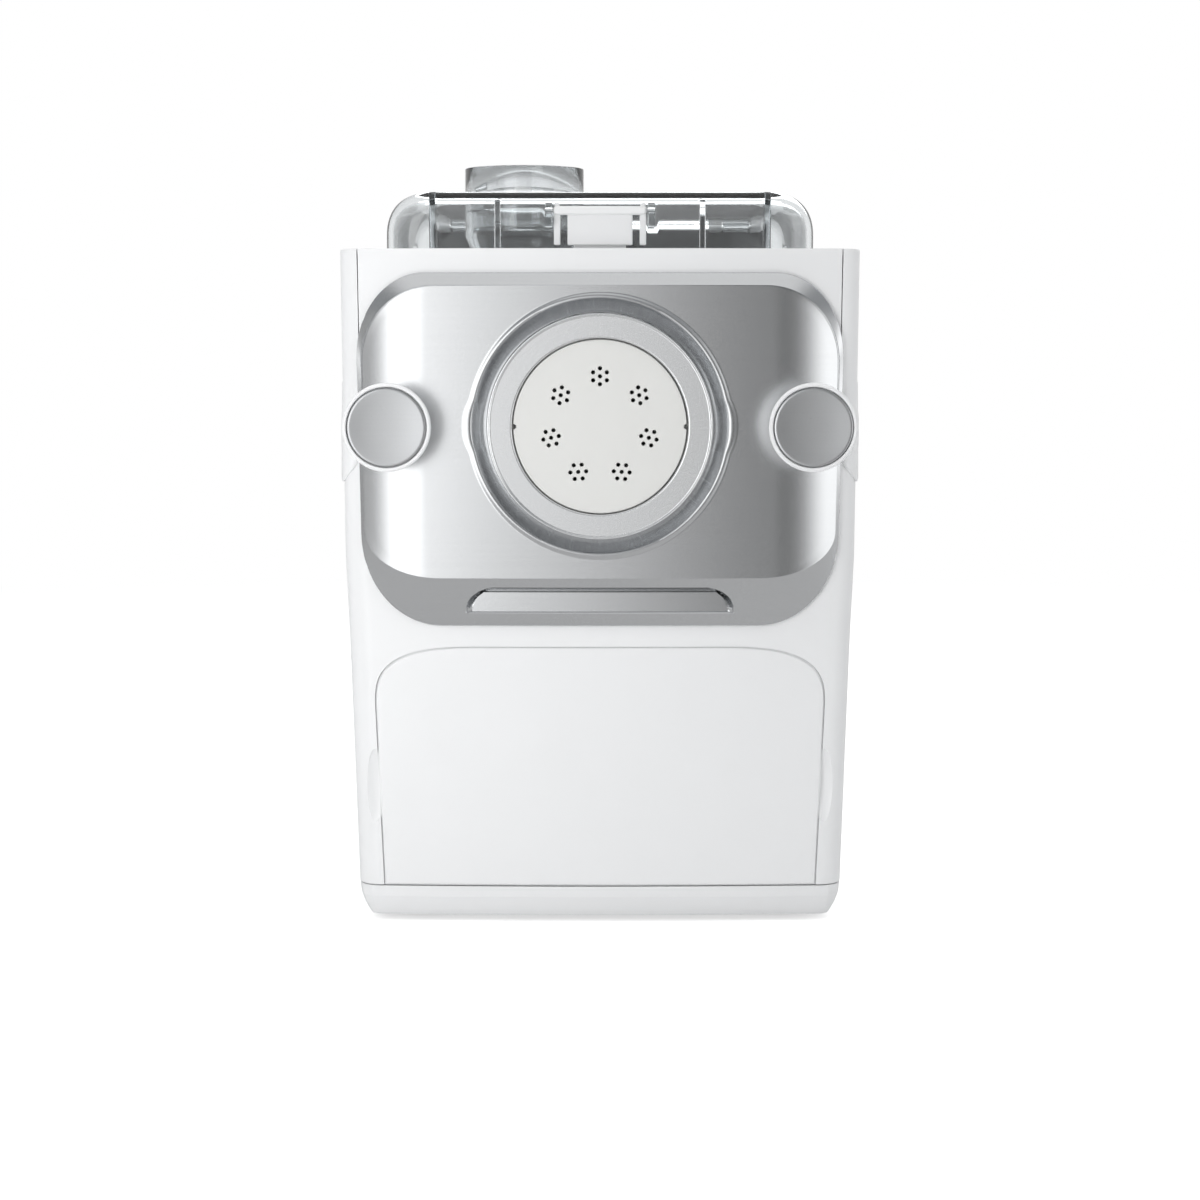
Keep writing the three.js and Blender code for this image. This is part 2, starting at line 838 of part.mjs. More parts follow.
function makeChamber() {
  const front = troughFront - troughWall;
  const back = troughBack + troughWall;
  const top = deckLow - fit;
  const rim = mouthWidth / 2 + troughWall + rimWide;
  const flangeBack = -discBack + fit;
  const tubeOuter = tubeRadius + tubeWall;
  const body = joined(
    facing(troughShape(troughWall, top), front, back, 7),
    box(-rim, rim, front - rimWide, back, top - troughWall, top),
    rodY(0, axisHeight, tubeOuter, flangeBack, troughFront - troughWall / 2),
    rodY(0, axisHeight, discFlange, flangeBack, flangeBack + tubeFlangeThick),
  );
  const chamber = cut(
    body,
    facing(troughShape(0, top + overrun), troughFront, troughBack, 7),
    rodY(0, axisHeight, tubeRadius, flangeBack - overrun, troughFront + overrun),
    rodY(0, axisHeight, sealRadius + fit, troughBack - overrun, back + overrun, smallSides),
  );
  clear("mixing_chamber", chamber);
}

function makeSeal() {
  const from = troughBack + troughWall - sealThick;
  const inner = shaftRadius + running;
  const to = from + sealThick;
  const profile = [[inner, from], [sealRadius, from], [sealRadius, to], [inner, to]];
  dark("shaft_seal", turnedY(profile, 0, axisHeight, smallSides));
}

// Extruding screw: one helical flight round a core, with a pin that the disc carries

function flight(from, to, outer, inner, thick) {
  const turns = (to - from - thick) / screwPitch;
  const count = Math.ceil(turns * flightSteps);
  const sections = [];
  for (let i = 0; i <= count; i += 1) {
    const angle = 2 * Math.PI * turns * i / count;
    const y = from + thick / 2 + screwPitch * turns * i / count;
    const rim = thick / 4;
    const across = [[inner, -thick / 2], [outer, -rim], [outer, rim], [inner, thick / 2]];
    sections.push(across.map(([radius, along]) => {
      return new THREE.Vector3(radius * Math.cos(angle), y + along, radius * Math.sin(angle));
    }));
  }
  return sections;
}

function skinned(sections) {
  const count = sections[0].length;
  const places = [];
  sections.flat().forEach((point) => places.push(point.x, point.y, point.z));
  const indices = [];
  for (let row = 0; row < sections.length - 1; row += 1) {
    for (let i = 0; i < count; i += 1) {
      const a = row * count + i;
      const b = row * count + (i + 1) % count;
      indices.push(a, b, b + count, a, b + count, a + count);
    }
  }
  const last = (sections.length - 1) * count;
  for (let i = 1; i < count - 1; i += 1) {
    indices.push(0, i + 1, i, last, last + i, last + i + 1);
  }
  const geometry = new THREE.BufferGeometry();
  geometry.setAttribute("position", new THREE.Float32BufferAttribute(places, 3));
  geometry.setIndex(indices);
  return geometry;
}

function makeScrew() {
  const front = screwFront;
  const sections = flight(front, screwStart, tubeRadius - running, screwCore - wall / 3, flightThick);
  const socket = rodY(0, axisHeight, shaftRadius + fit, screwStart - shaftSocket, screwStart + overrun, 6);
  const screw = joined(
    rodY(0, axisHeight, screwCore, front, screwStart, smallSides),
    rodY(0, axisHeight, screwPin, front - screwPinLength, front + overrun, smallSides),
    fill(skinned(sections).translate(0, 0, axisHeight)),
  );
  steel("extruding_screw", cut(screw, socket));
}

function makePaddle() {
  const front = screwStart + fit;
  const low = axisHeight - paddleBar / 2;
  const high = axisHeight + paddleBar / 2;
  const near = paddleReach - paddleBar / 2;
  const far = paddleReach + paddleBar / 2;
  const barFront = troughFront + 2 * running;
  const barBack = hubBack - paddleBar / 2;
  const paddle = joined(
    rodY(0, axisHeight, hubRadius, front, hubBack, smallSides),
    box(-far, far, front, front + paddleBar, low, high),
    box(-far, far, barBack - paddleBar, barBack, low, high),
    box(near, far, barFront, barBack, low, high),
    box(-far, -near, barFront, barBack, low, high),
  );
  const socket = rodY(0, axisHeight, shaftRadius + fit, front - overrun, hubBack + overrun, 6);
  nylon("mixing_paddle", cut(paddle, socket));
}

function makeDriveShaft() {
  const front = screwStart - shaftSocket + running;
  const back = caseRear - running;
  const shaft = joined(
    rodY(0, axisHeight, shaftRadius, front, hubBack + 2 * fit, 6),
    rodY(0, axisHeight, shaftRadius, hubBack + fit, back, smallSides),
  );
  steel("drive_shaft", shaft);
}

// Spur gears with involute teeth

function gearShape(teeth, module, phase) {
  const pressure = Math.PI / 9;
  const pitchRadius = module * teeth / 2;
  const base = pitchRadius * Math.cos(pressure);
  const tip = pitchRadius + module;
  const root = pitchRadius - 1.25 * module;
  const involute = (angle) => Math.tan(angle) - angle;
  const pitchHalf = Math.PI / (2 * teeth) - gearBacklash / pitchRadius;
  const halfAt = (radius) => {
    const lean = Math.acos(Math.min(1, base / radius));
    return pitchHalf + involute(pressure) - involute(lean);
  };
  const start = Math.max(root, base);
  const flank = [start, pitchRadius, tip];
  const points = [];
  for (let tooth = 0; tooth < teeth; tooth += 1) {
    const middle = phase + 2 * Math.PI * tooth / teeth;
    const at = (radius, angle) => points.push([radius * Math.cos(angle), radius * Math.sin(angle)]);
    const rooted = start > root;
    if (rooted) {
      at(root, middle - halfAt(start));
    }
    flank.forEach((radius) => at(radius, middle - halfAt(radius)));
    [...flank].reverse().forEach((radius) => at(radius, middle + halfAt(radius)));
    if (rooted) {
      at(root, middle + halfAt(start));
    }
  }
  return outline(points);
}

function gear(teeth, module, phase, z, from, to, bore) {
  const extrusion = extruded(gearShape(teeth, module, phase), -to, -from, 1);
  const blank = fill(extrusion.rotateX(rightAngle).translate(0, 0, z));
  return cut(blank, rodY(0, z, bore, from - overrun, to + overrun, smallSides));
}

function makeGears() {
  const slowEnd = gearStart + slowFace;
  const fastEnd = fastStart + fastFace;
  const pinionPhase = rightAngle + Math.PI / pinionTeeth;
  const axleBore = axleRadius + fit;
  const output = cut(
    gear(outputTeeth, slowModule, -rightAngle, axisHeight, gearStart, slowEnd, shaftRadius + fit),
    webGroove(outputTeeth * slowModule / 2, slowEnd),
  );
  nylon("output_gear", output);
  const smallEnd = slowEnd + stageGap - fit;
  const small = gear(pinionTeeth, slowModule, pinionPhase, idlerHeight, gearStart, smallEnd, axleBore);
  steel("idler_pinion", small);
  nylon("idler_gear", gear(idlerTeeth, fastModule, -rightAngle, idlerHeight, fastStart, fastEnd, axleBore));
  const driving = gear(
    pinionTeeth,
    fastModule,
    pinionPhase,
    motorHeight,
    fastStart,
    fastEnd,
    motorShaftRadius + fit,
  );
  steel("motor_pinion", driving);
}

function webGroove(pitchRadius, end) {
  const outer = pitchRadius - 4 * slowModule;
  const low = end - slowFace / 3;
  const high = end + overrun;
  const profile = [[hubRadius, low], [outer, low], [outer, high], [hubRadius, high]];
  return turnedY(profile, 0, axisHeight);
}

// Gear case, its cover, the idler's axle and the shaft's bearing

function caseForm(grow, from, to) {
  const slowTip = slowModule * (outputTeeth / 2 + 1) + gearRoom + grow;
  const idlerTip = fastModule * (idlerTeeth / 2 + 1) + gearRoom + grow;
  const motorTip = fastModule * (pinionTeeth / 2 + 1) + gearRoom + grow;
  return joined(
    rodY(0, axisHeight, slowTip, from, to),
    rodY(0, idlerHeight, idlerTip, from, to),
    rodY(0, motorHeight, motorTip, from, to, smallSides),
  );
}

function makeGearCase() {
  const front = bulkheadY + chassisThick + fit;
  const bearingHole = sealRadius + fit;
  const shell = cut(
    caseForm(caseWall, front, caseRear),
    caseForm(0, front + caseWall, caseRear + overrun),
    rodY(0, axisHeight, bearingHole, front - overrun, front + caseWall + overrun, smallSides),
  );
  dark("gearbox_case", shell);
  const inner = shaftRadius + running / 2;
  const bearingEnd = gearStart - running;
  const bearing = [[inner, front], [sealRadius, front], [sealRadius, bearingEnd], [inner, bearingEnd]];
  steel("shaft_bearing", turnedY(bearing, 0, axisHeight, smallSides));
  const coverFront = caseRear + fit;
  const coverBack = coverFront + caseWall;
  const heads = [-1, 1].map((side) => {
    const x = side * (slowModule * outputTeeth / 2 + caseWall);
    return rodY(x, axisHeight, axleRadius, coverBack - wall / 3, coverBack + caseWall / 2, 6);
  });
  const cover = cut(
    joined(caseForm(caseWall, coverFront, coverBack), ...heads),
    rodY(0, motorHeight, motorShaftRadius + running, coverFront - overrun, coverBack + overrun, smallSides),
  );
  dark("gearbox_cover", cover);
  const axle = rodY(0, idlerHeight, axleRadius, front + caseWall + fit, caseRear, smallSides);
  steel("idler_axle", axle);
}

// Motor with its shaft, fan and cradle

function makeMotor() {
  const end = motorStart + motorLength;
  const bell = motorLength / 8;
  const neck = motorShaftRadius * 3;
  const bore = motorShaftRadius + running / 2;
  const shoulder = motorRadius - bell / 4;
  const profile = [
    [bore, motorStart - motorNose],
    [neck, motorStart - motorNose],
    [neck, motorStart],
    [shoulder, motorStart],
    [shoulder, motorStart + bell],
    [motorRadius, motorStart + bell],
    [motorRadius, end - bell],
    [shoulder, end - bell],
    [shoulder, end],
    [bore, end],
  ];
  steel("motor_body", turnedY(profile, 0, motorHeight, 20));
  const shaft = rodY(0, motorHeight, motorShaftRadius, fastStart - fit, end + fanThick + fit, 12);
  steel("motor_shaft", shaft);
}

function makeFan() {
  const front = motorStart + motorLength + running;
  const back = front + fanThick;
  const hub = motorShaftRadius * 2;
  const web = fanThick / 5;
  const blades = [];
  for (let i = 0; i < fanBlades; i += 1) {
    const blade = new THREE.BoxGeometry(fanRadius - hub, fanThick, web);
    blade.translate((fanRadius + hub - web) / 2, 0, 0);
    blade.rotateY(2 * Math.PI * i / fanBlades);
    blades.push(fill(blade.translate(0, (front + back) / 2, motorHeight)));
  }
  const fan = joined(
    rodY(0, motorHeight, hub, front, back, smallSides),
    rodY(0, motorHeight, fanRadius, back - web, back, 24),
    ...blades,
  );
  const bore = rodY(0, motorHeight, motorShaftRadius + fit, front - overrun, back + overrun, 12);
  dark("motor_fan", cut(fan, bore));
}

function makeCradle() {
  const low = footHeight + floorThick + fit;
  const reach = motorRadius * cradleWideShare;
  const front = motorStart + motorLength * cradleEndShare;
  const back = motorStart + motorLength * (1 - cradleEndShare);
  const room = rodY(0, motorHeight, motorRadius + fit, front - overrun, back + overrun, 32);
  const top = motorHeight - motorRadius / 2;
  const cradle = joined(
    box(-reach, reach, front, back, low, low + wall),
    box(-reach, reach, front, front + wall, low, top),
    box(-reach, reach, back - wall, back, low, top),
  );
  dark("motor_cradle", cut(cradle, room));
}

// Electronics: the power board beside the motor and the board under the controls

function makePowerBoard() {
  const near = motorRadius + bodyCorner;
  const far = chassisWidth / 2 - wall;
  const front = caseRear;
  const back = rearY - 2 * bodyCorner;
  const low = footHeight + floorThick + fit + wall;
  const top = low + boardThick;
  const middle = (near + far) / 2;
  const pin = wall / 3;
  const parts = [
    box(near, far, front, back, low, top),
    box(near + wall, middle, front + wall, front + motorRadius, low, top + motorRadius),
    rodZ(far - bodyCorner, front + motorRadius, bodyCorner - wall, low, top + motorRadius, smallSides),
    rodZ(middle, back - bodyCorner * 2, bodyCorner - 2 * running, low, top + bodyCorner * 2, smallSides),
  ];
  const fins = 4;
  for (let i = 0; i < fins; i += 1) {
    const x = far - wall * (1 + 2 * i);
    const finFront = front + motorRadius + 2 * bodyCorner;
    parts.push(box(x - wall / 2, x, finFront, back - wall, low, top + motorRadius - wall));
  }
  for (const [x, y] of [[near, front], [near, back], [far, front], [far, back]]) {
    const inX = x === near ? x + wall : x - wall;
    const inY = y === front ? y + wall : y - wall;
    parts.push(box(inX - pin, inX + pin, inY - pin, inY + pin, low - wall, low + boardThick / 2));
  }
  piece("power_board", joined(...parts), 0x2f6b46, 0.6, 0);
}

// Electronics under the controls, and the control housing itself

function makeDisplayBoard() {
  const reach = controlGlassWidth / 2 - wall;
  const low = deckHeight + bodyCorner;
  const top = low + boardThick;
  const switchTop = stemLow - buttonTravel - fit;
  const board = box(-reach, reach, controlGlassFront, controlGlassBack, low, top);
  const switches = buttonPlaces.map((x) => {
    return box(x - wall, x + wall, buttonY - wall, buttonY + wall, low, switchTop);
  });
  const screenTop = recessFloor - controlTopThick;
  const screenHalf = windowWidth / 2;
  const screen = box(-screenHalf, screenHalf, windowY - wall, windowY + wall, low, screenTop);
  const posts = [-1, 1].map((side) => {
    const x = side * (reach - wall);
    return box(x - wall / 2, x + wall / 2, windowY, windowY + wall, low, controlTop - controlTopThick - fit);
  });
  piece("display_board", joined(board, screen, ...switches, ...posts), 0x2f6b46, 0.6, 0);
}

function controlSection(inset) {
  const reach = controlWidth / 2 - inset;
  const back = rearY - wall - inset;
  const shape = roundedBox(-reach, reach, controlFront + inset, back, controlRound - inset);
  return shape.getPoints(2);
}

function controlGlassShape(grow) {
  const reach = controlGlassWidth / 2 + grow;
  return roundedBox(-reach, reach, controlGlassFront - grow, controlGlassBack + grow, wall * 2);
}

function windowShape(grow) {
  const reach = windowWidth / 2 + grow;
  const deep = windowDepth / 2 + grow;
  return roundedBox(-reach, reach, windowY - deep, windowY + deep, wall);
}

function hingeBarrel(side, from, to) {
  const near = Math.min(side * from, side * to);
  const far = Math.max(side * from, side * to);
  return rodX(hingeY, hingeZ, knuckleRadius, near, far);
}

function hingeLug(side, from, to) {
  const low = hingeZ - knuckleRadius;
  const block = box(side * from, side * to, hingeY, controlFront + controlWall, low, controlTop);
  const barrel = cut(hingeBarrel(side, from, to), box(
    side * (from - overrun),
    side * (to + overrun),
    hingeY,
    hingeY + knuckleRadius,
    low,
    controlTop + knuckleRadius,
  ));
  return joined(block, barrel);
}

function pinHole(from, to) {
  return rodX(hingeY, hingeZ, hingePinRadius + fit, from, to, 12);
}

function makeControlHousing() {
  const levels = [
    [0, deckHeight + fit],
    [0, controlTop - wall * 2],
    [wall / 3, controlTop - controlEase],
    [wall, controlTop],
  ];
  const sections = levels.map(([inset, level]) => {
    return { points: controlSection(inset), level };
  });
  const hollow = loft([
    { points: controlSection(controlWall), level: deckHeight - overrun },
    { points: controlSection(controlWall), level: controlTop - controlTopThick },
  ]);
  const lugs = [-1, 1].flatMap((side) => {
    const inner = knuckleOffset - running;
    const outer = knuckleOffset + knuckleWidth + running;
    return [hingeLug(side, inner - lugWidth, inner), hingeLug(side, outer, outer + lugWidth)];
  });
  const stemHoles = buttonPlaces.map((x) => {
    return rodZ(x, buttonY, buttonStem + running / 2, deckHeight, controlTop + overrun, smallSides);
  });
  const reach = controlWidth / 2;
  const housing = cut(
    cut(joined(fill(loft(sections)), ...lugs), fill(hollow)),
    upright(controlGlassShape(fit), recessFloor, controlTop + overrun),
    upright(windowShape(-wall), deckHeight, controlTop + overrun),
    pinHole(-reach, reach),
    ...stemHoles,
  );
  white("control_housing", housing);
}

function makeControlGlass() {
  const low = recessFloor + fit;
  const top = controlTop - fit / 3;
  const holes = buttonPlaces.map((x) => {
    return rodZ(x, buttonY, buttonRadius + running / 2, low - overrun, top + overrun, 12);
  });
  const window = upright(windowShape(fit), low - overrun, top + overrun);
  dark("control_panel", cut(upright(controlGlassShape(0), low, top), window, ...holes));
  piece("display_window", upright(windowShape(0), low, top), 0x101418, 0.05, 0, 0.7);
}

function makeButton(name, x) {
  const capLow = recessFloor + buttonTravel + running;
  const capTop = controlTop + buttonRise;
  const edge = buttonRise / 3;
  const profile = [
    [0, stemLow],
    [buttonStem, stemLow],
    [buttonStem, capLow],
    [buttonRadius, capLow],
    [buttonRadius, capTop - edge],
    [buttonRadius - edge, capTop],
    [0, capTop],
  ];
  piece(name, turnedZ(profile, x, buttonY, 12), 0xd9dbdd, 0.4, 0);
}

// Rear cover with its vents and the cord inlet

function makeRearCover() {
  const outer = rearY - fit;
  const inner = rearY - wall - fit;
  const from = inner - coverLip;
  const slots = [];
  for (let row = 0; row < ventCount; row += 1) {
    const low = ventLow + row * ventPitch;
    for (const side of [-1, 1]) {
      const x = side * ventX;
      slots.push(box(
        x - ventWidth / 2,
        x + ventWidth / 2,
        from - overrun,
        outer + overrun,
        low,
        low + ventHeight,
      ));
    }
  }
  const cover = cut(
    joined(
      facing(coverOpening(0), inner - wall / 2, outer),
      facing(coverOpening(coverLip), inner - wall, inner),
    ),
    rodY(inletX, inletZ, inletRadius + fit, from - overrun, outer + overrun, smallSides),
    ...slots,
  );
  white("rear_cover", cover);
}

function makeCordInlet() {
  const inner = rearY - 2 * wall - 2 * fit;
  const outer = rearY - fit;
  const flange = inletRadius + wall;
  const profile = [
    [inletBore, inner - 2 * wall],
    [inletRadius, inner - 2 * wall],
    [inletRadius, inner - wall],
    [flange, inner - wall],
    [flange, inner],
    [inletRadius, inner],
    [inletRadius, outer],
    [inletBore, outer],
  ];
  dark("cord_inlet", turnedY(profile, inletX, inletZ, smallSides));
}

// Drawer: its front and the bin behind it

function makeDrawer() {
  const front = drawerShape(0, shellLow + fit);
  const slab = bowedSlab(frontFace, (x) => frontFace(x) + drawerFrontThick, bandTop, drawerTop + wall);
  const deepest = frontFace(half) + drawerFrontThick + overrun;
  white("drawer_front", slab.intersect(facing(front, frontY - overrun, deepest, 4)));
  const near = frontFace(trayWidth / 2) + drawerFrontThick + fit;
  const low = floorTop + running;
  const reach = trayWidth / 2;
  const inner = reach - trayWall;
  const round = bodyCorner - trayWall;
  const outside = roundedBox(-reach, reach, near, trayBack, bodyCorner);
  const inside = roundedBox(-inner, inner, near + trayWall, trayBack - trayWall, round);
  const bin = cut(upright(outside, low, trayTop), upright(inside, low + trayWall, trayTop + overrun));
  piece("drawer_bin", bin, 0xe6e8ea, 0.4, 0);
}

// Removable front: white carrier, silver plate with finger grip, disc and ring

function gripShape(grow) {
  const low = gripWidth / 2 + grow;
  const high = gripTopWidth / 2 + grow;
  const top = gripHigh + grow;
  const bottom = gripLow - grow;
  const shape = new THREE.Shape();
  shape.moveTo(-low, bottom);
  shape.lineTo(low, bottom);
  shape.bezierCurveTo(low - seam, (bottom + top) / 2, high + overrun, top, high, top);
  shape.lineTo(-high, top);
  shape.bezierCurveTo(-high - overrun, top, -low + seam, (bottom + top) / 2, -low, bottom);
  return shape;
}

function knobHoles(from, to) {
  const radius = clampScrewRadius + running;
  return joined(
    rodY(-knobOffset, axisHeight, radius, from, to, smallSides),
    rodY(knobOffset, axisHeight, radius, from, to, smallSides),
  );
}

function makeCarrier() {
  const from = frontY - overrun;
  const back = frontFace(half) + carrierThick + overrun;
  const reach = plateWidth / 2;
  const slab = bowedSlab(frontFace, (x) => frontFace(x) + carrierThick, plateBottom - wall, deckHeight);
  const lipSlab = bowedSlab(frontFace, () => frontY + carrierLip, deckLow, deckHeight);
  const lip = lipSlab.intersect(box(-reach, reach, from, frontY + carrierLip, deckLow, deckHeight));
  const carrier = cut(
    joined(slab.intersect(facing(plateShape(0, true), from, back)), lip),
    rodY(0, axisHeight, ringRadius + running, from, back),
    facing(gripShape(gripWall + fit), from, back, 3),
    knobHoles(from, back),
  );
  white("panel_carrier", carrier);
}

function makePlate() {
  const face = frontY - plateProud;
  const edge = frontY - plateEdge;
  const gripBack = face + gripDepth + gripWall;
  const profile = outline([
    [gripBack, plateBottom],
    [edge, plateBottom],
    [face, plateBottom + plateSlopeTall],
    [face, plateTop - plateBevelTall],
    [edge - plateEdge, plateTop],
    [gripBack, plateTop],
  ]);
  const form = facing(plateShape(0, false), face - overrun, gripBack)
    .intersect(sideways(profile, -half, half));
  const skin = bowedSlab(plateFace, (x) => frontFace(x) - fit, plateBottom - wall, plateTop + wall);
  const pocket = facing(gripShape(gripWall), face, gripBack, 3);
  const solid = form.intersect(joined(skin, pocket));
  const dish = [
    [0, face - overrun],
    [dishRadius, face - overrun],
    [dishRadius, face],
    [ringRadius + running, face + dishDepth],
    [ringRadius + running, gripBack + overrun],
    [0, gripBack + overrun],
  ];
  const plate = cut(
    solid,
    turnedY(dish, 0, axisHeight, 36),
    facing(gripShape(0), face - overrun, face + gripDepth, 3),
    knobHoles(face - overrun, gripBack),
  );
  silver("front_plate", plate);
}

function makeDisc() {
  const step = -discBack - discStep;
  const back = -discBack;
  const profile = [
    [0, -discFront],
    [discRadius, -discFront],
    [discRadius, step],
    [discFlange, step],
    [discFlange, back],
    [0, back],
  ];
  const holes = [];
  const from = -discFront - overrun;
  const to = back + overrun;
  for (let group = 0; group < groupCount; group += 1) {
    const angle = rightAngle + 2 * Math.PI * group / groupCount;
    const groupX = groupCircle * Math.cos(angle);
    const groupZ = groupCircle * Math.sin(angle);
    holes.push(rodY(groupX, axisHeight + groupZ, strandHole, from, to, 6));
    for (let strand = 1; strand < strandCount; strand += 1) {
      const around = angle + 2 * Math.PI * strand / (strandCount - 1);
      const x = groupX + strandPitch * Math.cos(around);
      const z = groupZ + strandPitch * Math.sin(around);
      holes.push(rodY(x, axisHeight + z, strandHole, from, to, 6));
    }
  }
  const notches = [-1, 1].map((side) => {
    const x = side * discRadius;
    const low = axisHeight - discNotch / 2;
    const high = axisHeight + discNotch / 2;
    return box(x - discNotch, x + discNotch, from, discNotch - discFront, low, high);
  });
  const pocketEnd = screwFront - screwPinLength - running;
  const pocket = rodY(0, axisHeight, screwPin + running, pocketEnd, to, smallSides);
  const disc = cut(turnedY(profile, 0, axisHeight), pocket, ...notches, ...holes);
  piece("shaping_disc", disc, 0xf6f6f4, 0.45, 0);
}

function makeRing() {
  const bore = discRadius + running;
  const counterbore = discFlange + fit + seam / 2;
  const lipBack = ringLip - ringFront;
  const profile = [
    [bore, -ringFront],
    [ringRadius - ringBevel, -ringFront],
    [ringRadius, ringBevel - ringFront],
    [ringRadius, -ringBack],
    [counterbore, -ringBack],
    [counterbore, lipBack],
    [bore, lipBack],
  ];
  silver("fixing_ring", turnedY(profile, 0, axisHeight, 36));
}

// Clamp knobs: body, silver cap and screw

function makeKnob(sideName, side) {
  const x = side * knobOffset;
  const front = -rearY;
  const edge = fit * 2;
  const capSeat = knobCapRadius + fit;
  const capBack = front + knobCapThick + fit;
  const body = [
    [0, -knobBack],
    [knobRootRadius - edge, -knobBack],
    [knobRootRadius, edge - knobBack],
    [knobRadius, front + 2 * edge],
    [knobRadius - edge, front],
    [capSeat, front],
    [capSeat, capBack],
    [0, capBack],
  ];
  const socketRadius = clampScrewRadius + fit;
  const socketFront = -knobBack - clampSocket;
  const socket = rodY(x, axisHeight, socketRadius, socketFront, overrun - knobBack, smallSides);
  white(`${sideName}_knob`, cut(turnedY(body, x, axisHeight), socket));
  const cap = [
    [0, front],
    [knobCapRadius - fit, front],
    [knobCapRadius, front + fit],
    [knobCapRadius, capBack - fit],
    [0, capBack - fit],
  ];
  silver(`${sideName}_knob_cap`, turnedY(cap, x, axisHeight));
  const screw = rodY(x, axisHeight, clampScrewRadius, socketFront + fit, -clampScrewEnd, smallSides);
  steel(`${sideName}_clamp_screw`, screw);
}

// Clear lid with its funnel, hinge knuckles and latch lugs

function lidForm(inset, low) {
  const reach = lidWidth / 2 - inset;
  const round = lidRound - inset;
  const top = lidTop - inset;
  const shape = new THREE.Shape();
  shape.moveTo(-reach, low);
  shape.lineTo(reach, low);
  shape.absarc(reach - round, top - round, round, 0, rightAngle, false);
  shape.absarc(round - reach, top - round, round, rightAngle, Math.PI, false);
  const corner = lidCorner - inset;
  const plan = roundedBox(-reach, reach, lidFront + inset, lidBack - inset, corner);
  const outer = facing(shape, lidFront - overrun, lidBack + overrun);
  return outer.intersect(upright(plan, low, top));
}

function funnel() {
  const knee = spigotLow - cupWall;
  const throat = spigotRadius + running;
  const outer = throat + lidWall;
  const profile = [
    [throat, lidTop],
    [outer, lidTop],
    [outer, knee],
    [funnelRadius + lidWall, funnelLow],
    [funnelRadius, funnelLow],
    [throat, knee],
  ];
  return turnedZ(profile, cupX, cupY, 24);
}

function lidKnuckle(side) {
  const from = knuckleOffset;
  const to = knuckleOffset + knuckleWidth;
  const low = hingeZ - knuckleRadius;
  const block = box(side * from, side * to, lidBack - lidWall / 2, hingeY, low, lidTop);
  return joined(block, hingeBarrel(side, from, to));
}

function latchLug(side) {
  const from = latchWidth / 2 + running;
  const top = latchPinZ + latchLugWide;
  const low = latchPinZ - latchBarTall * 2;
  const front = latchPinY - latchLugWide;
  return box(side * from, side * (from + latchLugWide), front, lidFront + lidWall / 2, low, top);
}

function makeLid() {
  const low = deckHeight + fit;
  const shell = cut(lidForm(0, low), lidForm(lidWall, low - overrun));
  const mouthRadius = spigotRadius + running + lidWall / 2;
  const mouth = rodZ(cupX, cupY, mouthRadius, lidTop - 2 * lidWall, lidTop + overrun);
  const latchReach = latchWidth / 2 + running + latchLugWide + overrun;
  const lid = cut(
    joined(cut(shell, mouth), funnel(), lidKnuckle(-1), lidKnuckle(1), latchLug(-1), latchLug(1)),
    pinHole(-lidWidth / 2, lidWidth / 2),
    rodX(latchPinY, latchPinZ, latchPinRadius + fit, -latchReach, latchReach, 12),
  );
  clear("lid_shell", lid);
}

function makeHingePin(name, side) {
  const inner = knuckleOffset - running - lugWidth;
  const outer = knuckleOffset + knuckleWidth + running + lugWidth;
  const from = Math.min(side * inner, side * outer);
  const to = Math.max(side * inner, side * outer);
  steel(name, rodX(hingeY, hingeZ, hingePinRadius, from, to, 12));
}

function makeCup() {
  const inner = cupRadius - cupWall;
  const ledge = lidTop + fit;
  const spigotInner = spigotRadius - cupWall;
  const profile = [
    [0, spigotLow],
    [spigotRadius, spigotLow],
    [spigotRadius, ledge],
    [cupRadius, ledge],
    [cupRadius, cupTop],
    [inner, cupTop],
    [inner, ledge + cupWall],
    [spigotInner, ledge + cupWall],
    [spigotInner, spigotLow + cupWall],
    [0, spigotLow + cupWall],
  ];
  const slots = [-1, 0, 1].map((row) => {
    const y = cupY + row * spigotRadius / 2;
    const reach = spigotRadius / 2;
    const low = spigotLow - overrun;
    return box(cupX - reach, cupX + reach, y - cupWall, y + cupWall, low, spigotLow + 2 * cupWall);
  });
  clear("inlet_cup", cut(turnedZ(profile, cupX, cupY, 24), ...slots));
}

// Latch flap: a bar on two posts with a panel hanging between them

function makeLatch() {
  const reach = latchWidth / 2;
  const front = latchPinY - latchBarThick / 2;
  const back = latchPinY + latchBarThick / 2;
  const panel = latchPanel / 2;
  const posts = [-1, 1].flatMap((side) => {
    const x = side * (reach - latchPost);
    const top = latchBarHigh + latchPost / 2;
    const post = box(x, side * reach, back - latchThick, back, latchLow, latchBarHigh);
    const place = side * (reach - latchPost / 2);
    const peg = rodZ(place, back - latchThick / 2, latchThick / 2, latchBarLow, top, 12);
    return [post, peg];
  });
  const flap = joined(
    box(-reach, reach, front, back, latchBarLow, latchBarHigh),
    box(-panel, panel, back - latchThick, back, latchLow, latchBarHigh),
    ...posts,
  );
  const bores = [-1, 1].map((side) => {
    const inner = side * (reach - latchPinLength);
    const outer = side * (reach + overrun);
    const radius = latchPinRadius + fit;
    return rodX(latchPinY, latchPinZ, radius, Math.min(inner, outer), Math.max(inner, outer), 12);
  });
  white("latch_flap", cut(flap, ...bores));
}

function makeLatchPin(name, side) {
  const inner = side * (latchWidth / 2 - latchPinLength + fit);
  const outer = side * (latchWidth / 2 + running + latchLugWide);
  const pin = rodX(latchPinY, latchPinZ, latchPinRadius, Math.min(inner, outer), Math.max(inner, outer), 12);
  steel(name, pin);
}

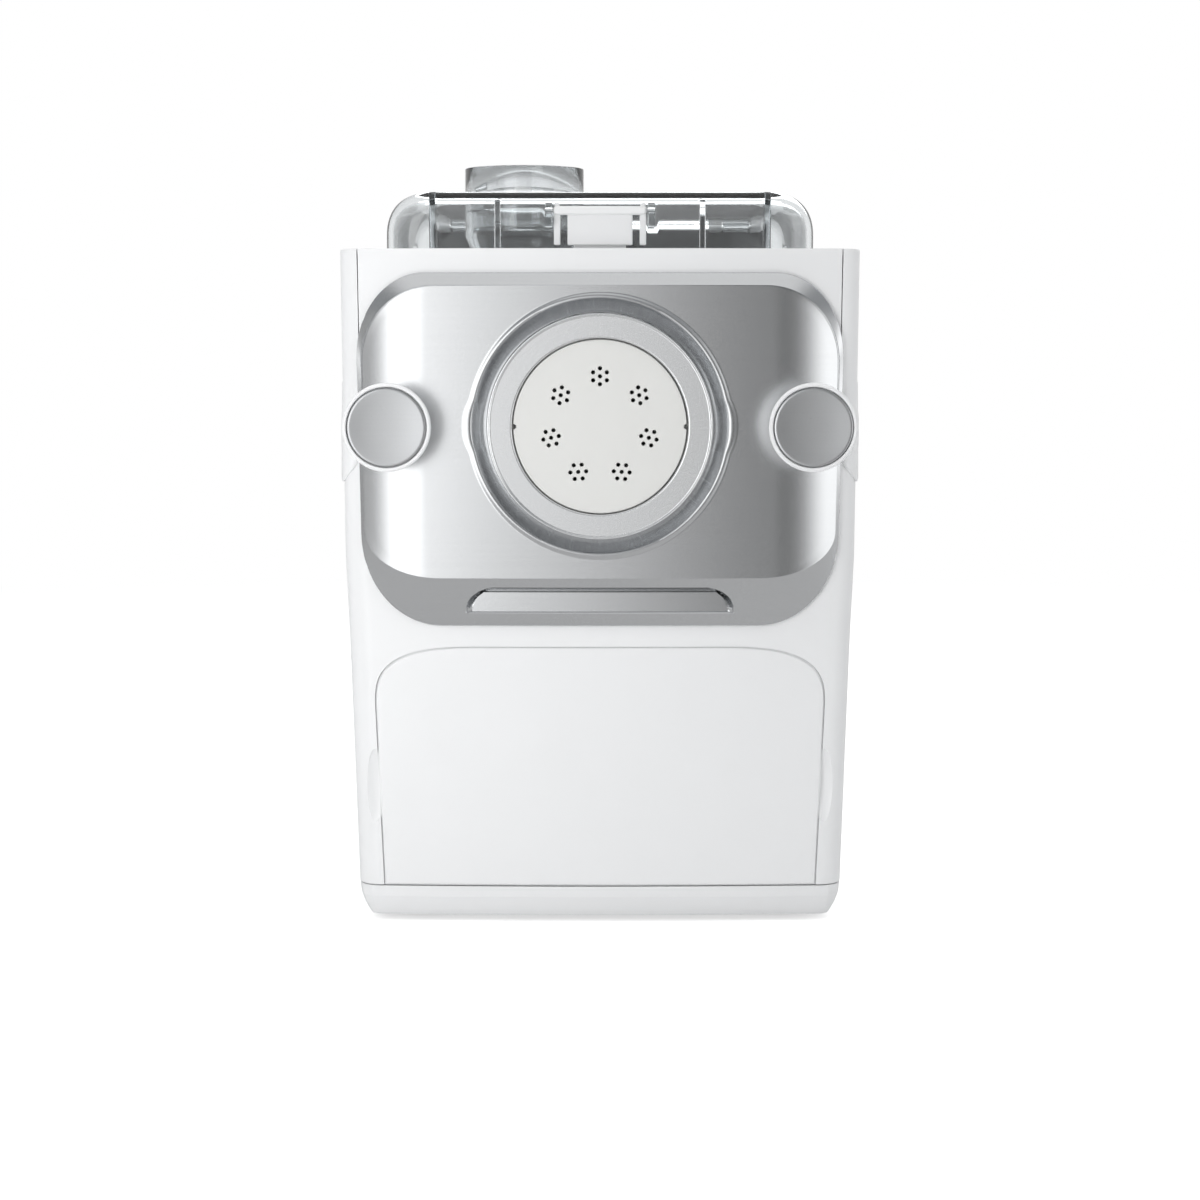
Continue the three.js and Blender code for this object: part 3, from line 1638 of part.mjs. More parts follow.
makeHousing();
makeBase();
makeFoot("foot_front_left", -footX, footFrontY);
makeFoot("foot_front_right", footX, footFrontY);
makeFoot("foot_rear_left", -footX, footRearY);
makeFoot("foot_rear_right", footX, footRearY);
makeRail("drawer_rail_left", -1);
makeRail("drawer_rail_right", 1);
makeChassis();
makeFrontBulkhead();
makeClampNut("left_clamp_nut", -1);
makeClampNut("right_clamp_nut", 1);
makeChamber();
makeSeal();
makeScrew();
makePaddle();
makeDriveShaft();
makeGears();
makeGearCase();
makeMotor();
makeFan();
makeCradle();
makePowerBoard();
makeControlHousing();
makeControlGlass();
makeDisplayBoard();
const buttonNames = ["power_button", "program_button", "flour_button", "time_button", "start_button"];
buttonNames.forEach((name, index) => makeButton(name, buttonPlaces[index]));
makeRearCover();
makeCordInlet();
makeDrawer();
makeCarrier();
makePlate();
makeDisc();
makeRing();
makeKnob("left", -1);
makeKnob("right", 1);
makeLid();
makeHingePin("lid_hinge_pin_left", -1);
makeHingePin("lid_hinge_pin_right", 1);
makeCup();
makeLatch();
makeLatchPin("latch_pin_left", -1);
makeLatchPin("latch_pin_right", 1);

export default machine;
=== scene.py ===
# Electric pasta maker: its looks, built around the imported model.
# Drawings are in millimetres, as on the maker's sheets, and go into the meshes in metres.
import json
import math

import bmesh
import bpy
import numpy as np
from mathutils import Matrix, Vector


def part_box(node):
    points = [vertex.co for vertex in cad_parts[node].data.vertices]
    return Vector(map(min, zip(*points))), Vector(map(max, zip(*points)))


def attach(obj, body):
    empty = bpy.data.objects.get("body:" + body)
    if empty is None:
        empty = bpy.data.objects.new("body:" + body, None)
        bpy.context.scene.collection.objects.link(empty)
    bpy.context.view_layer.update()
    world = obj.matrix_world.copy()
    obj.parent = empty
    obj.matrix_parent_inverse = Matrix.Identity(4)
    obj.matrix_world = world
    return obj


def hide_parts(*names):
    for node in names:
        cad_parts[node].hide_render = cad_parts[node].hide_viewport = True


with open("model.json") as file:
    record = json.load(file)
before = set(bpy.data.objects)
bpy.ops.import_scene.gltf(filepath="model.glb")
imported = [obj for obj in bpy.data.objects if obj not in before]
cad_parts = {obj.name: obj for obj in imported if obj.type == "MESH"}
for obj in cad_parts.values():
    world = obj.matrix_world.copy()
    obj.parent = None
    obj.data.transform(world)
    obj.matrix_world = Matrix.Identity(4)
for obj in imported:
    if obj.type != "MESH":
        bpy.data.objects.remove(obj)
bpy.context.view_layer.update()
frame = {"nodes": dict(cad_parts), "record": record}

# Camera: straight in front, a little higher than the knobs and tilted a little down, with a long lens,
# as the photograph was taken.
CAMERA_PLACE = (0, -1.37, 0.26)
CAMERA_TILT = 5.15


def placed(name, data):
    """A new object for a mesh, lamp or camera, linked into the scene."""
    made = bpy.data.objects.new(name, data)
    bpy.context.scene.collection.objects.link(made)
    return made


camera_data = bpy.data.cameras.new("front_camera")
camera_data.lens = 78.3
camera_data.sensor_width = 36
camera_data.clip_end = 50
camera = placed("front_camera", camera_data)
camera.location = CAMERA_PLACE
camera.rotation_euler = (math.radians(90 - CAMERA_TILT), 0, 0)
bpy.context.scene.camera = camera
bpy.context.scene.view_settings.view_transform = "Standard"


# Studio: soft lamps from above, from behind and from both sides, the nearest one close by on the left,
# and a room all round them. Metal and gloss mirror the room's screens, its floor and its ceiling.
def soft_lamp(name, place, aim, width, height, watts):
    """A rectangular lamp at place that shines on the point aim. Neither mirrors nor the camera see it."""
    data = bpy.data.lights.new(name, "AREA")
    data.shape = "RECTANGLE"
    data.size = width
    data.size_y = height
    data.energy = watts
    lamp = placed(name, data)
    lamp.location = place
    x, y, z = np.subtract(aim, place)
    lamp.rotation_euler = (math.atan2(math.hypot(x, y), -z), 0, math.atan2(y, x) - math.pi / 2)
    lamp.visible_glossy = False
    lamp.visible_camera = False


soft_lamp("overhead_lamp", (0, -0.3, 1.9), (0, 0, 0.2), 1.8, 1.4, 14)
soft_lamp("near_left_lamp", (-0.34, -0.66, 0.27), (-0.02, -0.17, 0.2), 0.3, 0.6, 1.8)
soft_lamp("left_lamp", (-1.5, -0.3, 0.9), (0, 0, 0.2), 0.9, 1.3, 0.8)
soft_lamp("right_lamp", (1.7, -0.7, 0.9), (0, 0, 0.2), 0.9, 1.3, 6)
soft_lamp("back_lamp", (0.3, 1.7, 1.2), (0, 0.1, 0.2), 1.4, 0.8, 9)


class Value:
    """One socket of a node. Sums, differences and products of it are written as plain expressions."""

    def __init__(self, finish, socket):
        self.finish = finish
        self.socket = socket

    def work(self, operation, first, second):
        return self.finish.add("Math", {"operation": operation}, {0: first, 1: second})

    def __add__(self, other):
        return self.work("ADD", self, other)

    def __sub__(self, other):
        return self.work("SUBTRACT", self, other)

    def __rsub__(self, other):
        return self.work("SUBTRACT", other, self)

    def __mul__(self, other):
        return self.work("MULTIPLY", self, other)

    __radd__ = __add__
    __rmul__ = __mul__


class Finish:
    """A tree of nodes in the making. add() puts in any node; settings come before sockets."""

    def __init__(self, name, tree=None):
        self.material = None
        if tree is None:
            self.material = bpy.data.materials.new(name)
            self.material.use_nodes = True
            tree = self.material.node_tree
        self.tree = tree
        tree.nodes.clear()

    def add(self, kind, settings=None, sockets=None, out=0):
        node = self.tree.nodes.new("ShaderNode" + kind)
        for name, value in (settings or {}).items():
            if name == "stops":
                ramp = node.color_ramp
                while len(ramp.elements) < len(value):
                    ramp.elements.new(0.5)
                for element, (place, grey) in zip(ramp.elements, value):
                    element.position = place
                    element.color = (grey, grey, grey, 1)
            else:
                setattr(node, name, value)
        for name, value in (sockets or {}).items():
            socket = node.inputs[name]
            if isinstance(value, Value):
                self.tree.links.new(value.socket, socket)
            elif hasattr(socket.default_value, "__len__") and len(value) + 1 == len(socket.default_value):
                socket.default_value = (*value, 1)
            else:
                socket.default_value = value
        return Value(self, node.outputs[out])

    def blend(self, share, first, second):
        """A colour that goes from the first to the second as the share goes from 0 to 1. The Mix node's
        colours are its inputs 6 and 7 and its output 2."""
        return self.add("Mix", {"data_type": "RGBA"}, {0: share, 6: first, 7: second}, 2)

    def seen_plainly(self):
        """1 for the camera's own rays and for rays through clear plastic, 0 for all others."""
        own, clear = [self.add("LightPath", out=ray) for ray in ("Is Camera Ray", "Is Transmission Ray")]
        return self.add("Math", {"operation": "MAXIMUM"}, {0: own, 1: clear})

    def soft_step(self, value, low, high):
        """Goes from 0 to 1 on a soft curve while the value goes from low to high."""
        settings = {"interpolation_type": "SMOOTHSTEP"}
        return self.add("MapRange", settings, {"Value": value, "From Min": low, "From Max": high})

    def noise(self, place, scale, detail):
        """Soft noise fixed to the place, with about as many cells in a metre as the scale says."""
        return self.add("TexNoise", sockets={"Vector": place, "Scale": scale, "Detail": detail})

    def bump(self, height, strength, distance):
        """A normal that the height tilts, by the strength, over a relief as deep as the distance."""
        return self.add("Bump", sockets={"Strength": strength, "Distance": distance, "Height": height})

    def output(self, kind, shader, socket="Surface"):
        ends = [node for node in self.tree.nodes if node.bl_idname == "ShaderNodeOutput" + kind]
        end = ends[0] if ends else self.tree.nodes.new("ShaderNodeOutput" + kind)
        self.tree.links.new(shader.socket, end.inputs[socket])

    def principled(self, sockets):
        """Ends the tree with the general shader, and gives the material."""
        self.output("Material", self.add("BsdfPrincipled", sockets=sockets))
        return self.material


world = bpy.data.worlds.new("studio")
world.use_nodes = True
bpy.context.scene.world = world
sky = Finish("studio", world.node_tree)
direction = sky.add("TexCoord")
sideways, backward, upward = [sky.add("SeparateXYZ", sockets={0: direction}, out=axis) for axis in "XYZ"]

# What mirrors see: in front, by bearing, a grey room with a bright screen on the left, a dark one close
# by on the right and a bright strip beyond it; a lit ceiling, a dimmer band under it, and a grey floor.
SCREEN_REACH = math.radians(60)
screens = [
    (0, 0.45), (0.13, 0.5), (0.18, 0.6), (0.23, 2.4), (0.39, 2.3),
    (0.435, 1.05), (0.49, 0.92), (0.53, 0.5), (0.57, 0.2), (0.69, 0.2),
    (0.75, 0.5), (0.8, 1.3), (0.84, 2), (0.92, 1.8), (1, 0.7),
]
bearing = sky.add("Math", {"operation": "ARCTAN2"}, {0: sideways, 1: -1 * backward})
across = sky.add("MapRange", sockets={"Value": bearing, "From Min": -SCREEN_REACH, "From Max": SCREEN_REACH})
room = sky.add("ValToRGB", {"stops": screens}, {"Fac": across})
room = sky.blend(sky.soft_step(backward, -0.45, -0.1), room, (0.75, 0.75, 0.75))
under_ceiling = sky.blend(sky.soft_step(upward, 0.2, 0.42), room, (0.36, 0.37, 0.38))
ceiling = sky.blend(sky.soft_step(upward, 0.6, 0.85), under_ceiling, (0.95, 0.95, 0.95))
mirrored = sky.blend(sky.soft_step(upward, -0.16, -0.42), ceiling, (0.6, 0.6, 0.6))

# What plain surfaces get: soft grey light from all round, and less of it from the front, where the near
# lamp gives the rest. The camera itself, and what it sees through clear plastic, gets plain white.
front_fill = sky.soft_step(backward, 0.2, -0.9)
soft_light = sky.blend(front_fill, (0.46, 0.465, 0.47), (0.31, 0.315, 0.32))
lit = sky.blend(sky.add("LightPath", out="Is Glossy Ray"), soft_light, mirrored)
shown = sky.blend(sky.seen_plainly(), lit, (1, 1, 1))
sky.output("World", sky.add("Background", sockets={"Color": shown}))

# Floor: a pale sweep. The camera sees it white with the object's shadow. Mirrors see it pale grey near
# the object, and the screens beyond it.
FLOOR_REACH = 6
PAPER_WHITE = (0.88, 0.88, 0.88)
floor_mesh = bpy.data.meshes.new("floor")
floor_turns = ((-1, -1), (1, -1), (1, 1), (-1, 1))
floor_mesh.from_pydata([(x * FLOOR_REACH, y * FLOOR_REACH, 0) for x, y in floor_turns], [], [(0, 1, 2, 3)])
floor = placed("floor", floor_mesh)
paper = Finish("paper")
matt = paper.add("BsdfDiffuse", sockets={"Color": PAPER_WHITE})
glow = paper.add("Emission", sockets={"Color": (1, 1, 1), "Strength": 0.56})
shaded = paper.add("AddShader", sockets={0: matt, 1: glow})
spot = paper.add("TexCoord", out="Object")
away = paper.add("VectorMath", {"operation": "LENGTH"}, {0: spot}, out="Value")
white = paper.add("Emission", sockets={"Color": (1, 1, 1), "Strength": 1})
lifted = paper.add("MixShader", sockets={0: paper.soft_step(away, 0.8, 1.8), 1: shaded, 2: white})
near_floor = paper.add("Emission", sockets={"Color": (1, 1, 1), "Strength": 0.6})
forward = paper.add("SeparateXYZ", sockets={0: spot}, out="Y") * -1
beyond = paper.add("BsdfTransparent")
pale = paper.add("MixShader", sockets={0: paper.soft_step(forward, 0.6, 1.2), 1: near_floor, 2: beyond})
plain = paper.add("MixShader", sockets={0: paper.seen_plainly(), 1: matt, 2: lifted})
mirror_ray = paper.add("LightPath", out="Is Glossy Ray")
paper.output("Material", paper.add("MixShader", sockets={0: mirror_ray, 1: plain, 2: pale}))
floor_mesh.materials.append(paper.material)

# Feet: four turned rubber feet, pressed into the base pan from below. Their foot edge is rounded off.
MM = 0.001
WELD = 0.000004
RUBBER = (0.035, 0.035, 0.036)
FOOT_RADIUS = 12
FOOT_PLACES = {
    "foot_front_left": (-84, -138),
    "foot_front_right": (84, -138),
    "foot_rear_left": (-84, 168),
    "foot_rear_right": (84, 168),
}


def toned(colour, factor):
    """The colour made brighter or darker by a factor."""
    return tuple(min(1, part * factor) for part in colour)


def moulded(name, colour, rough, grain, depth, shine=0):
    """Moulded plastic or rubber: a faint cloudiness in the colour, and a fine leathery skin whose
    hollows are a little less glossy. grain is the number of skin cells in a metre."""
    finish = Finish(name)
    place = finish.add("TexCoord", out="Object")
    cloud = finish.noise(place, 30, 2)
    skin = finish.noise(place, grain, 2)
    return finish.principled({
        "Base Color": finish.blend(cloud, toned(colour, 0.985), toned(colour, 1.01)),
        "Roughness": (skin - 0.5) * 0.1 + rough,
        "Normal": finish.bump(skin, 0.2, depth),
        "IOR": 1.5,
        "Coat Weight": shine,
        "Coat Roughness": 0.1,
    })


body_of = {node: body for body, nodes in frame["record"]["behaviour"]["bodies"].items() for node in nodes}


def hand_over(made, material, node=None, body=None, slot=None, crease=35, bevel=0):
    """Gives a mesh its shading, finish, broken edges and body; slot is not used. It stands for the CAD node,
    if any.
    """
    made.data.shade_smooth()
    made.data.set_sharp_from_angle(angle=math.radians(crease))
    made.data.materials.clear()
    made.data.materials.append(material)
    if bevel:
        rounding = made.modifiers.new("rounding", "BEVEL")
        rounding.width = bevel * MM
        rounding.segments = 2
        rounding.limit_method = "ANGLE"
        rounding.angle_limit = math.radians(crease)
        rounding.harden_normals = True
        rounding.use_clamp_overlap = True
    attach(made, body or body_of[node])
    if node:
        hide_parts(node)


class Surface:
    """Grids of points, in millimetres, gathered into one mesh."""

    def __init__(self):
        self.points = []
        self.faces = []

    def grid(self, rows, closed=True, filled=False):
        """Joins each row of points to the next. closed joins the ends of each row, and filled puts a face
        in the first row and in the last."""
        rows = np.asarray(rows, float)
        tall, wide = rows.shape[:2]
        index = np.arange(tall * wide).reshape(tall, wide) + sum(map(len, self.points))
        following = np.roll(index, -1, axis=1)
        last = wide if closed else wide - 1
        quads = np.stack([index[:-1], following[:-1], following[1:], index[1:]], -1)[:, :last]
        self.points.append(rows.reshape(-1, 3))
        self.faces += quads.reshape(-1, 4).tolist()
        if filled:
            self.faces += [index[0][::-1].tolist(), index[-1].tolist()]
        return self

    def mesh_object(self, name):
        """Welds the grids, turns the faces outward, and makes a mesh object of them."""
        mesh = bpy.data.meshes.new(name)
        mesh.from_pydata(np.concatenate(self.points) * MM, [], self.faces)
        work = bmesh.new()
        work.from_mesh(mesh)
        bmesh.ops.remove_doubles(work, verts=work.verts, dist=WELD)
        bmesh.ops.dissolve_degenerate(work, edges=work.edges, dist=WELD / 2)
        bmesh.ops.recalc_face_normals(work, faces=work.faces)
        work.to_mesh(mesh)
        work.free()
        return placed(name, mesh)

    def piece(self, name, material, node=None, **fitting):
        """Makes the mesh object and hands it over."""
        hand_over(self.mesh_object(name), material, node, **fitting)


def full_turn(sides):
    """The angles of a round form's sides, in radians."""
    return np.linspace(0, 2 * np.pi, sides, endpoint=False)


def turned_up(profile, x, y, sides=96):
    """A profile of (radius, height) carried round an upright axis through (x, y)."""
    angle = full_turn(sides)
    return Surface().grid([
        np.stack([x + radius * np.cos(angle), y + radius * np.sin(angle), np.full(sides, float(height))], -1)
        for radius, height in profile
    ])


foot_rubber = moulded("foot_rubber", RUBBER, 0.75, 1200, 0.0002)
for node, (x, y) in FOOT_PLACES.items():
    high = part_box(node)[1][2] / MM
    foot_profile = [(0, 0), (FOOT_RADIUS - 2.5, 0), (FOOT_RADIUS - 1.4, 0.25), (FOOT_RADIUS - 0.7, 0.9)]
    foot_profile += [(FOOT_RADIUS, high - 0.3), (FOOT_RADIUS, high), (0, high)]
    turned_up(foot_profile, x, y, 48).piece(node + "_pad", foot_rubber, node, crease=40)

# Base pan: a white moulded pan that closes the body from below, with the drawer's floor over it.
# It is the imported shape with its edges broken, as the tool leaves them.
WHITE = (0.85, 0.855, 0.86)
FLAT_ENOUGH = math.radians(0.6)


def softened(material, bevel, *nodes):
    """A copy of each CAD node's mesh with its flat faces merged again and its edges rounded."""
    for node in nodes:
        mesh = bpy.data.meshes.new(node + "_skin")
        work = bmesh.new()
        work.from_mesh(frame["nodes"][node].data)
        bmesh.ops.remove_doubles(work, verts=work.verts, dist=5 * WELD)
        bmesh.ops.dissolve_limit(work, angle_limit=FLAT_ENOUGH, verts=work.verts, edges=work.edges)
        work.to_mesh(mesh)
        work.free()
        hand_over(placed(node + "_skin", mesh), material, node, crease=28, bevel=bevel)


white_plastic = moulded("white_plastic", WHITE, 0.34, 900, 0.00006)
softened(white_plastic, 0.6, "base_tray")

# Housing: one white moulding with tapered sides, a slightly bowed front and a flat back, screwed to the
# base pan from below. It is open for the removable front, the drawer, the bowl and the rear cover.
BODY_HALF = 120
BODY_FRONT = -170
BODY_REAR = 200
FRONT_BOW = 4.5
BODY_CORNER = 12
SHELL_LOW = 18
DECK = 313
KINKS = (136, 171.4)
TAPER = [0, 0.4, 0.52, 1], [0.942, 0.975, 0.988, 1]
WALL = 3
SEAM = 0.5
DRAWER_TOP = 129.6
SHOULDER_WIDE = 50
SHOULDER_TALL = 27
SWELLING_MIDDLE = 229
SWELLING_RADIUS = 21
SWELLING_SIDES = 64
SCOOP_OUT = 104.6
SCOOP_MIDDLE = 64.8
SCOOP_SIDES = 40
MOUTH_HALF = 111.5
JOIN = "UNION"
CUT = "DIFFERENCE"


def front_face(x):
    """The bowed front: it falls back from the middle with the square of x."""
    return BODY_FRONT + FRONT_BOW * (x / BODY_HALF) ** 2


def corner(x, z, wide, tall, start, power=2, steps=28):
    """A quarter of a superellipse: cosine and sine to the power 2/power, from the angle start."""
    angle = np.radians(start) + np.linspace(0, np.pi / 2, steps)
    across = np.sign(np.cos(angle)) * np.abs(np.cos(angle)) ** (2 / power)
    up = np.sign(np.sin(angle)) * np.abs(np.sin(angle)) ** (2 / power)
    return np.stack([x + wide * across, z + tall * up], -1)


def part_way(start, end, share):
    """The points that lie at a share of the way from start to end."""
    return np.asarray(start) * (1 - share) + np.asarray(end) * share


def run(start, end, steps):
    """Evenly spaced points from start to end, without both ends."""
    return part_way(start, end, np.linspace(0, 1, steps + 2)[1:-1, None])


def eased(share):
    """The share on a soft curve that starts and ends level: 3 times its square, less twice its cube."""
    return share * share * (3 - 2 * share)


def level_row(flat, height):
    """One level row: x and y from the plan, z from the height."""
    return np.stack([flat[:, 0], flat[:, 1], np.full(len(flat), float(height))], -1)


def upright_row(flat, depth):
    """One upright row: x and z from the drawing, y from the depth."""
    return np.stack([flat[:, 0], depth + 0 * flat[:, 0], flat[:, 1]], -1)


def rounded_plan(half, front, back, radius):
    """A rectangle with round corners, even about the middle, anticlockwise."""
    out, low, high = half - radius, front + radius, back - radius
    corners = (out, low, -90), (out, high, 0), (-out, high, 90), (-out, low, 180)
    return np.concatenate([corner(x, y, radius, radius, start, steps=16) for x, y, start in corners])


def even_outline(low, high, lower, upper, steps):
    """An upright outline, even about the middle, anticlockwise from the middle of its foot: the points of
    its lower and upper corners, and three straight runs, of so many steps each, that join them."""
    right = np.concatenate([
        run((0, low), lower[0], steps[0]),
        lower,
        run(lower[-1], upper[0], steps[1]),
        upper,
        run(upper[-1], (0, high), steps[2]),
    ])
    return np.concatenate([[[0, low]], right, [[0, high]], right[::-1] * (-1, 1)])


def capped(rows):
    """A surface through the rows, with its first and last row filled."""
    return Surface().grid(rows, filled=True)


def straight_up(plan, low, high):
    """A level outline carried straight up from one height to another."""
    return capped([level_row(plan, low), level_row(plan, high)])


def straight_back(outline, front=-176, back=-158.5):
    """An upright outline carried straight back, right through the front wall unless told otherwise."""
    return capped([upright_row(outline, front), upright_row(outline, back)])


def block(start, end, edge=0.4):
    """A block from one corner to the other with its upright and level edges broken."""
    low, high = np.sort(np.array([start, end], float), axis=0)
    rows = []
    for level, inset in ((low[2], edge), (low[2] + edge, 0), (high[2] - edge, 0), (high[2], edge)):
        (xa, ya), (xb, yb) = low[:2] + inset, high[:2] - inset
        plan = [(xa + edge, ya), (xb - edge, ya), (xb, ya + edge), (xb, yb - edge)]
        plan += [(xb - edge, yb), (xa + edge, yb), (xa, yb - edge), (xa, ya + edge)]
        rows.append([(x, y, level) for x, y in plan])
    return capped(rows)


def carve(surface, name, tools):
    """Joins or cuts each tool with the surface's mesh, in the order given, and applies the result."""
    base = surface.mesh_object(name)
    for operation, tool_surface in tools:
        tool = tool_surface.mesh_object("tool")
        modifier = base.modifiers.new("carve", "BOOLEAN")
        modifier.operation = operation
        modifier.solver = "EXACT"
        modifier.object = tool
        graph = bpy.context.evaluated_depsgraph_get()
        mesh = bpy.data.meshes.new_from_object(base.evaluated_get(graph))
        base.modifiers.clear()
        base.data = mesh
        bpy.data.objects.remove(tool)
    return base


def body_row(height, inset):
    """The body's level section at a height: bowed front, quarter round corners, flat back. The sides
    widen from the foot up along three straight stretches, and inset draws the whole outline in."""
    share = (height - SHELL_LOW) / (DECK - SHELL_LOW)
    half = BODY_HALF * np.interp(share, *TAPER)
    radius = BODY_CORNER - inset
    reach = half - inset - radius
    across = np.linspace(0, reach, 24)[:-1]
    right = np.concatenate([
        np.stack([across, front_face(across) + inset], -1),
        corner(reach, front_face(reach) + inset + radius, radius, radius, -90, steps=14),
        corner(reach, BODY_REAR - inset - radius, radius, radius, 0, steps=14),
    ])
    return level_row(np.concatenate([right, right[:0:-1] * (-1, 1)]), height)


def knob_swelling(side):
    """A low swelling beside each knob: upright superelliptic rings from the front back along the side,
    whose reach and height ease from one place to the next."""
    places = np.array([-166.6, -154.6, -88.6, -36.6])
    along = np.concatenate([a + (b - a) * np.linspace(0, 1, 8) for a, b in zip(places[:-1], places[1:])])
    stretch = np.clip(np.searchsorted(places, along, side="left") - 1, 0, 2)
    share = eased((along - places[stretch]) / (places[stretch + 1] - places[stretch]))
    sizes = np.array([(111.4, 120.3, 120.3, 117.4), (14.3, 23, 20.7, 13.8)])
    reach, tall = part_way(sizes[:, stretch], sizes[:, stretch + 1], share)
    turn = full_turn(SWELLING_SIDES)
    round_x = SWELLING_RADIUS * (np.sign(np.cos(turn)) * np.abs(np.cos(turn)) ** 0.6 - 1)
    round_z = np.sign(np.sin(turn)) * np.abs(np.sin(turn)) ** 0.6
    return capped([
        np.stack([side * (r + round_x), np.full(SWELLING_SIDES, y), SWELLING_MIDDLE + t * round_z], -1)
        for y, r, t in zip(along, reach, tall)
    ])


def drawer_outline(shrink):
    """The drawer's outline, from the foot round: slightly tapered sides and superelliptic shoulders."""
    half_top, half_low, low, high = 104 - shrink, 100.3 - shrink, 18.3 + shrink, DRAWER_TOP - shrink
    shoulder_place = half_top - SHOULDER_WIDE, high - SHOULDER_TALL
    shoulder = corner(*shoulder_place, SHOULDER_WIDE, SHOULDER_TALL, 0, 2.9, 60)
    return even_outline(low, high, [[half_low, low]], shoulder, (60, 60, 40))


def finger_scoop(side):
    """A tool for the shallow hollow beside the drawer: an ellipsoid with its middle in the front face."""
    around = full_turn(SCOOP_SIDES)
    wide, deep, tall = 4.8 * np.cos(around), 2.3 * np.sin(around), 17.2
    return Surface().grid([
        np.stack([
            side * (SCOOP_OUT + wide * math.sin(turn)),
            front_face(SCOOP_OUT) + deep * math.sin(turn),
            np.full(SCOOP_SIDES, SCOOP_MIDDLE - tall * math.cos(turn)),
        ], -1)
        for turn in np.linspace(0, np.pi, 17)
    ])


shell_levels = [(SHELL_LOW, 0.3), (18.3, 0), *((kink, 0) for kink in KINKS)]
shell_levels += [(312.1, 0), (312.6, 0.14), (312.87, 0.4), (DECK, 0.9)]
front_half = np.concatenate([corner(73, 183.1, 37, 43, -90), [[MOUTH_HALF, 317]]])
front_opening = np.concatenate([front_half, front_half[::-1] * (-1, 1)])
cover_opening = rounded_plan(95.3, 33.7, 286.3, 12)
bowl_opening = rounded_plan(87, -131, 30, 12)
shell_tools = [
    *((JOIN, knob_swelling(side)) for side in (-1, 1)),
    (CUT, capped([body_row(height, WALL) for height in (14, *KINKS, 310)])),
    (CUT, straight_back(front_opening)),
    (CUT, straight_back(drawer_outline(-SEAM))),
    (CUT, block((-MOUTH_HALF, -180, 306), (MOUTH_HALF, -157.5, 318), 0)),
    (CUT, straight_up(bowl_opening, 306, 318)),
    (CUT, straight_back(cover_opening, 193, 204)),
    (JOIN, block((-12, -153, 311.5), (12, -151.2, 318))),
    *((CUT, finger_scoop(side)) for side in (-1, 1)),
]
shell_walls = capped([body_row(height, inset) for height, inset in shell_levels])
shell = carve(shell_walls, "housing_body", shell_tools)
hand_over(shell, white_plastic, "housing_shell", crease=30, bevel=0.35)

# Ears: on each side of the front, a low raised edge of the housing that stands round the outer half of
# a knob. They are moulded in one with the housing.
EAR_TOP = 252
EAR_LIP = 0.07


def body_corner(side):
    """The body's plan at its front corner, from the front round to the side, with its outward normals."""
    plan = np.array([
        (111.4, -165.35), (112.6, -165.05), (113.7, -164.75), (115.2, -163.4),
        (116.9, -161.6), (118.3, -159.6), (119.1, -157.2), (119.7, -154.6),
        (119.8, -151), (119.8, -147), (119.8, -142),
    ])
    along = np.gradient(plan, axis=0)
    normals = np.stack([along[:, 1], -along[:, 0]], -1)
    normals /= np.linalg.norm(normals, axis=1, keepdims=True)
    return plan * (side, 1), normals * (side, 1)


def ear(side):
    """Rows of the ear from its foot up. It stands off the corner by a height that fades with z, with a
    round lip at its foot, and it dies away toward both ends of the path."""
    plan, normals = body_corner(side)
    share = np.linspace(0, 1, len(plan))
    foot = 214.5 - 8.5 * np.clip(share / 0.55, 0, 1) ** 1.2 + 6 * np.clip((share - 0.7) / 0.3, 0, 1) ** 2
    stand = np.interp(share, [0, 0.08, 0.3, 0.55, 0.75, 1], [0.6, 1.2, 1.2, 0.75, 0.55, 0])
    rows = []
    for rise in (0, 0.01, 0.022, 0.04, EAR_LIP, 0.12, 0.2, 0.3, 0.42, 0.55, 0.7, 0.85, 1):
        lip = math.sqrt(1 - (1 - min(rise / EAR_LIP, 1)) ** 2)
        height = foot + (EAR_TOP - foot) * rise
        offset = stand * lip * (1 - rise) ** 0.8 - 0.02
        outside = np.concatenate([plan + normals * offset[:, None], height[:, None]], 1)
        inside = np.concatenate([plan - normals * 1.2, height[:, None]], 1)
        rows.append(np.concatenate([outside, inside[::-1]]))
    return rows


for side, word in ((-1, "left"), (1, "right")):
    capped(ear(side)).piece(
        word + "_housing_ear", white_plastic, body="machine", slot="white_plastic", crease=50
    )

# Frame inside the body: a bent steel chassis on the base pan, a white bulkhead behind the front with a
# nut for each clamp screw, and two rails that carry the drawer.
STEEL = (0.52, 0.53, 0.54)
OFF_WHITE = (0.74, 0.74, 0.72)


def satin_metal(name, colour, rough, speck, streak):
    """Satin metal: fine bright and dark flakes, and long faint streaks from the tool's travel."""
    finish = Finish(name)
    place = finish.add("TexCoord", out="Object")
    flakes = finish.noise(place, 2200, 1)
    longways = finish.add("Mapping", sockets={"Vector": place, "Scale": (6, 60, 900)})
    streaks = finish.noise(longways, 1, 2)
    shade = (flakes - 0.5) * speck + (streaks - 0.5) * streak + 0.5
    return finish.principled({
        "Base Color": finish.blend(shade, toned(colour, 0.8), toned(colour, 1.2)),
        "Roughness": (flakes - 0.5) * 0.08 + rough,
        "Normal": finish.bump(flakes, 0.1, 0.00004),
        "Metallic": 1,
    })


plain_steel = satin_metal("plain_steel", STEEL, 0.3, 0.2, 0.25)
off_white_plastic = moulded("off_white_plastic", OFF_WHITE, 0.42, 700, 0.00008)
softened(plain_steel, 0.3, "chassis")
softened(white_plastic, 0.5, "front_bulkhead")
softened(plain_steel, 0.3, "left_clamp_nut", "right_clamp_nut")
softened(off_white_plastic, 0.3, "drawer_rail_left", "drawer_rail_right")

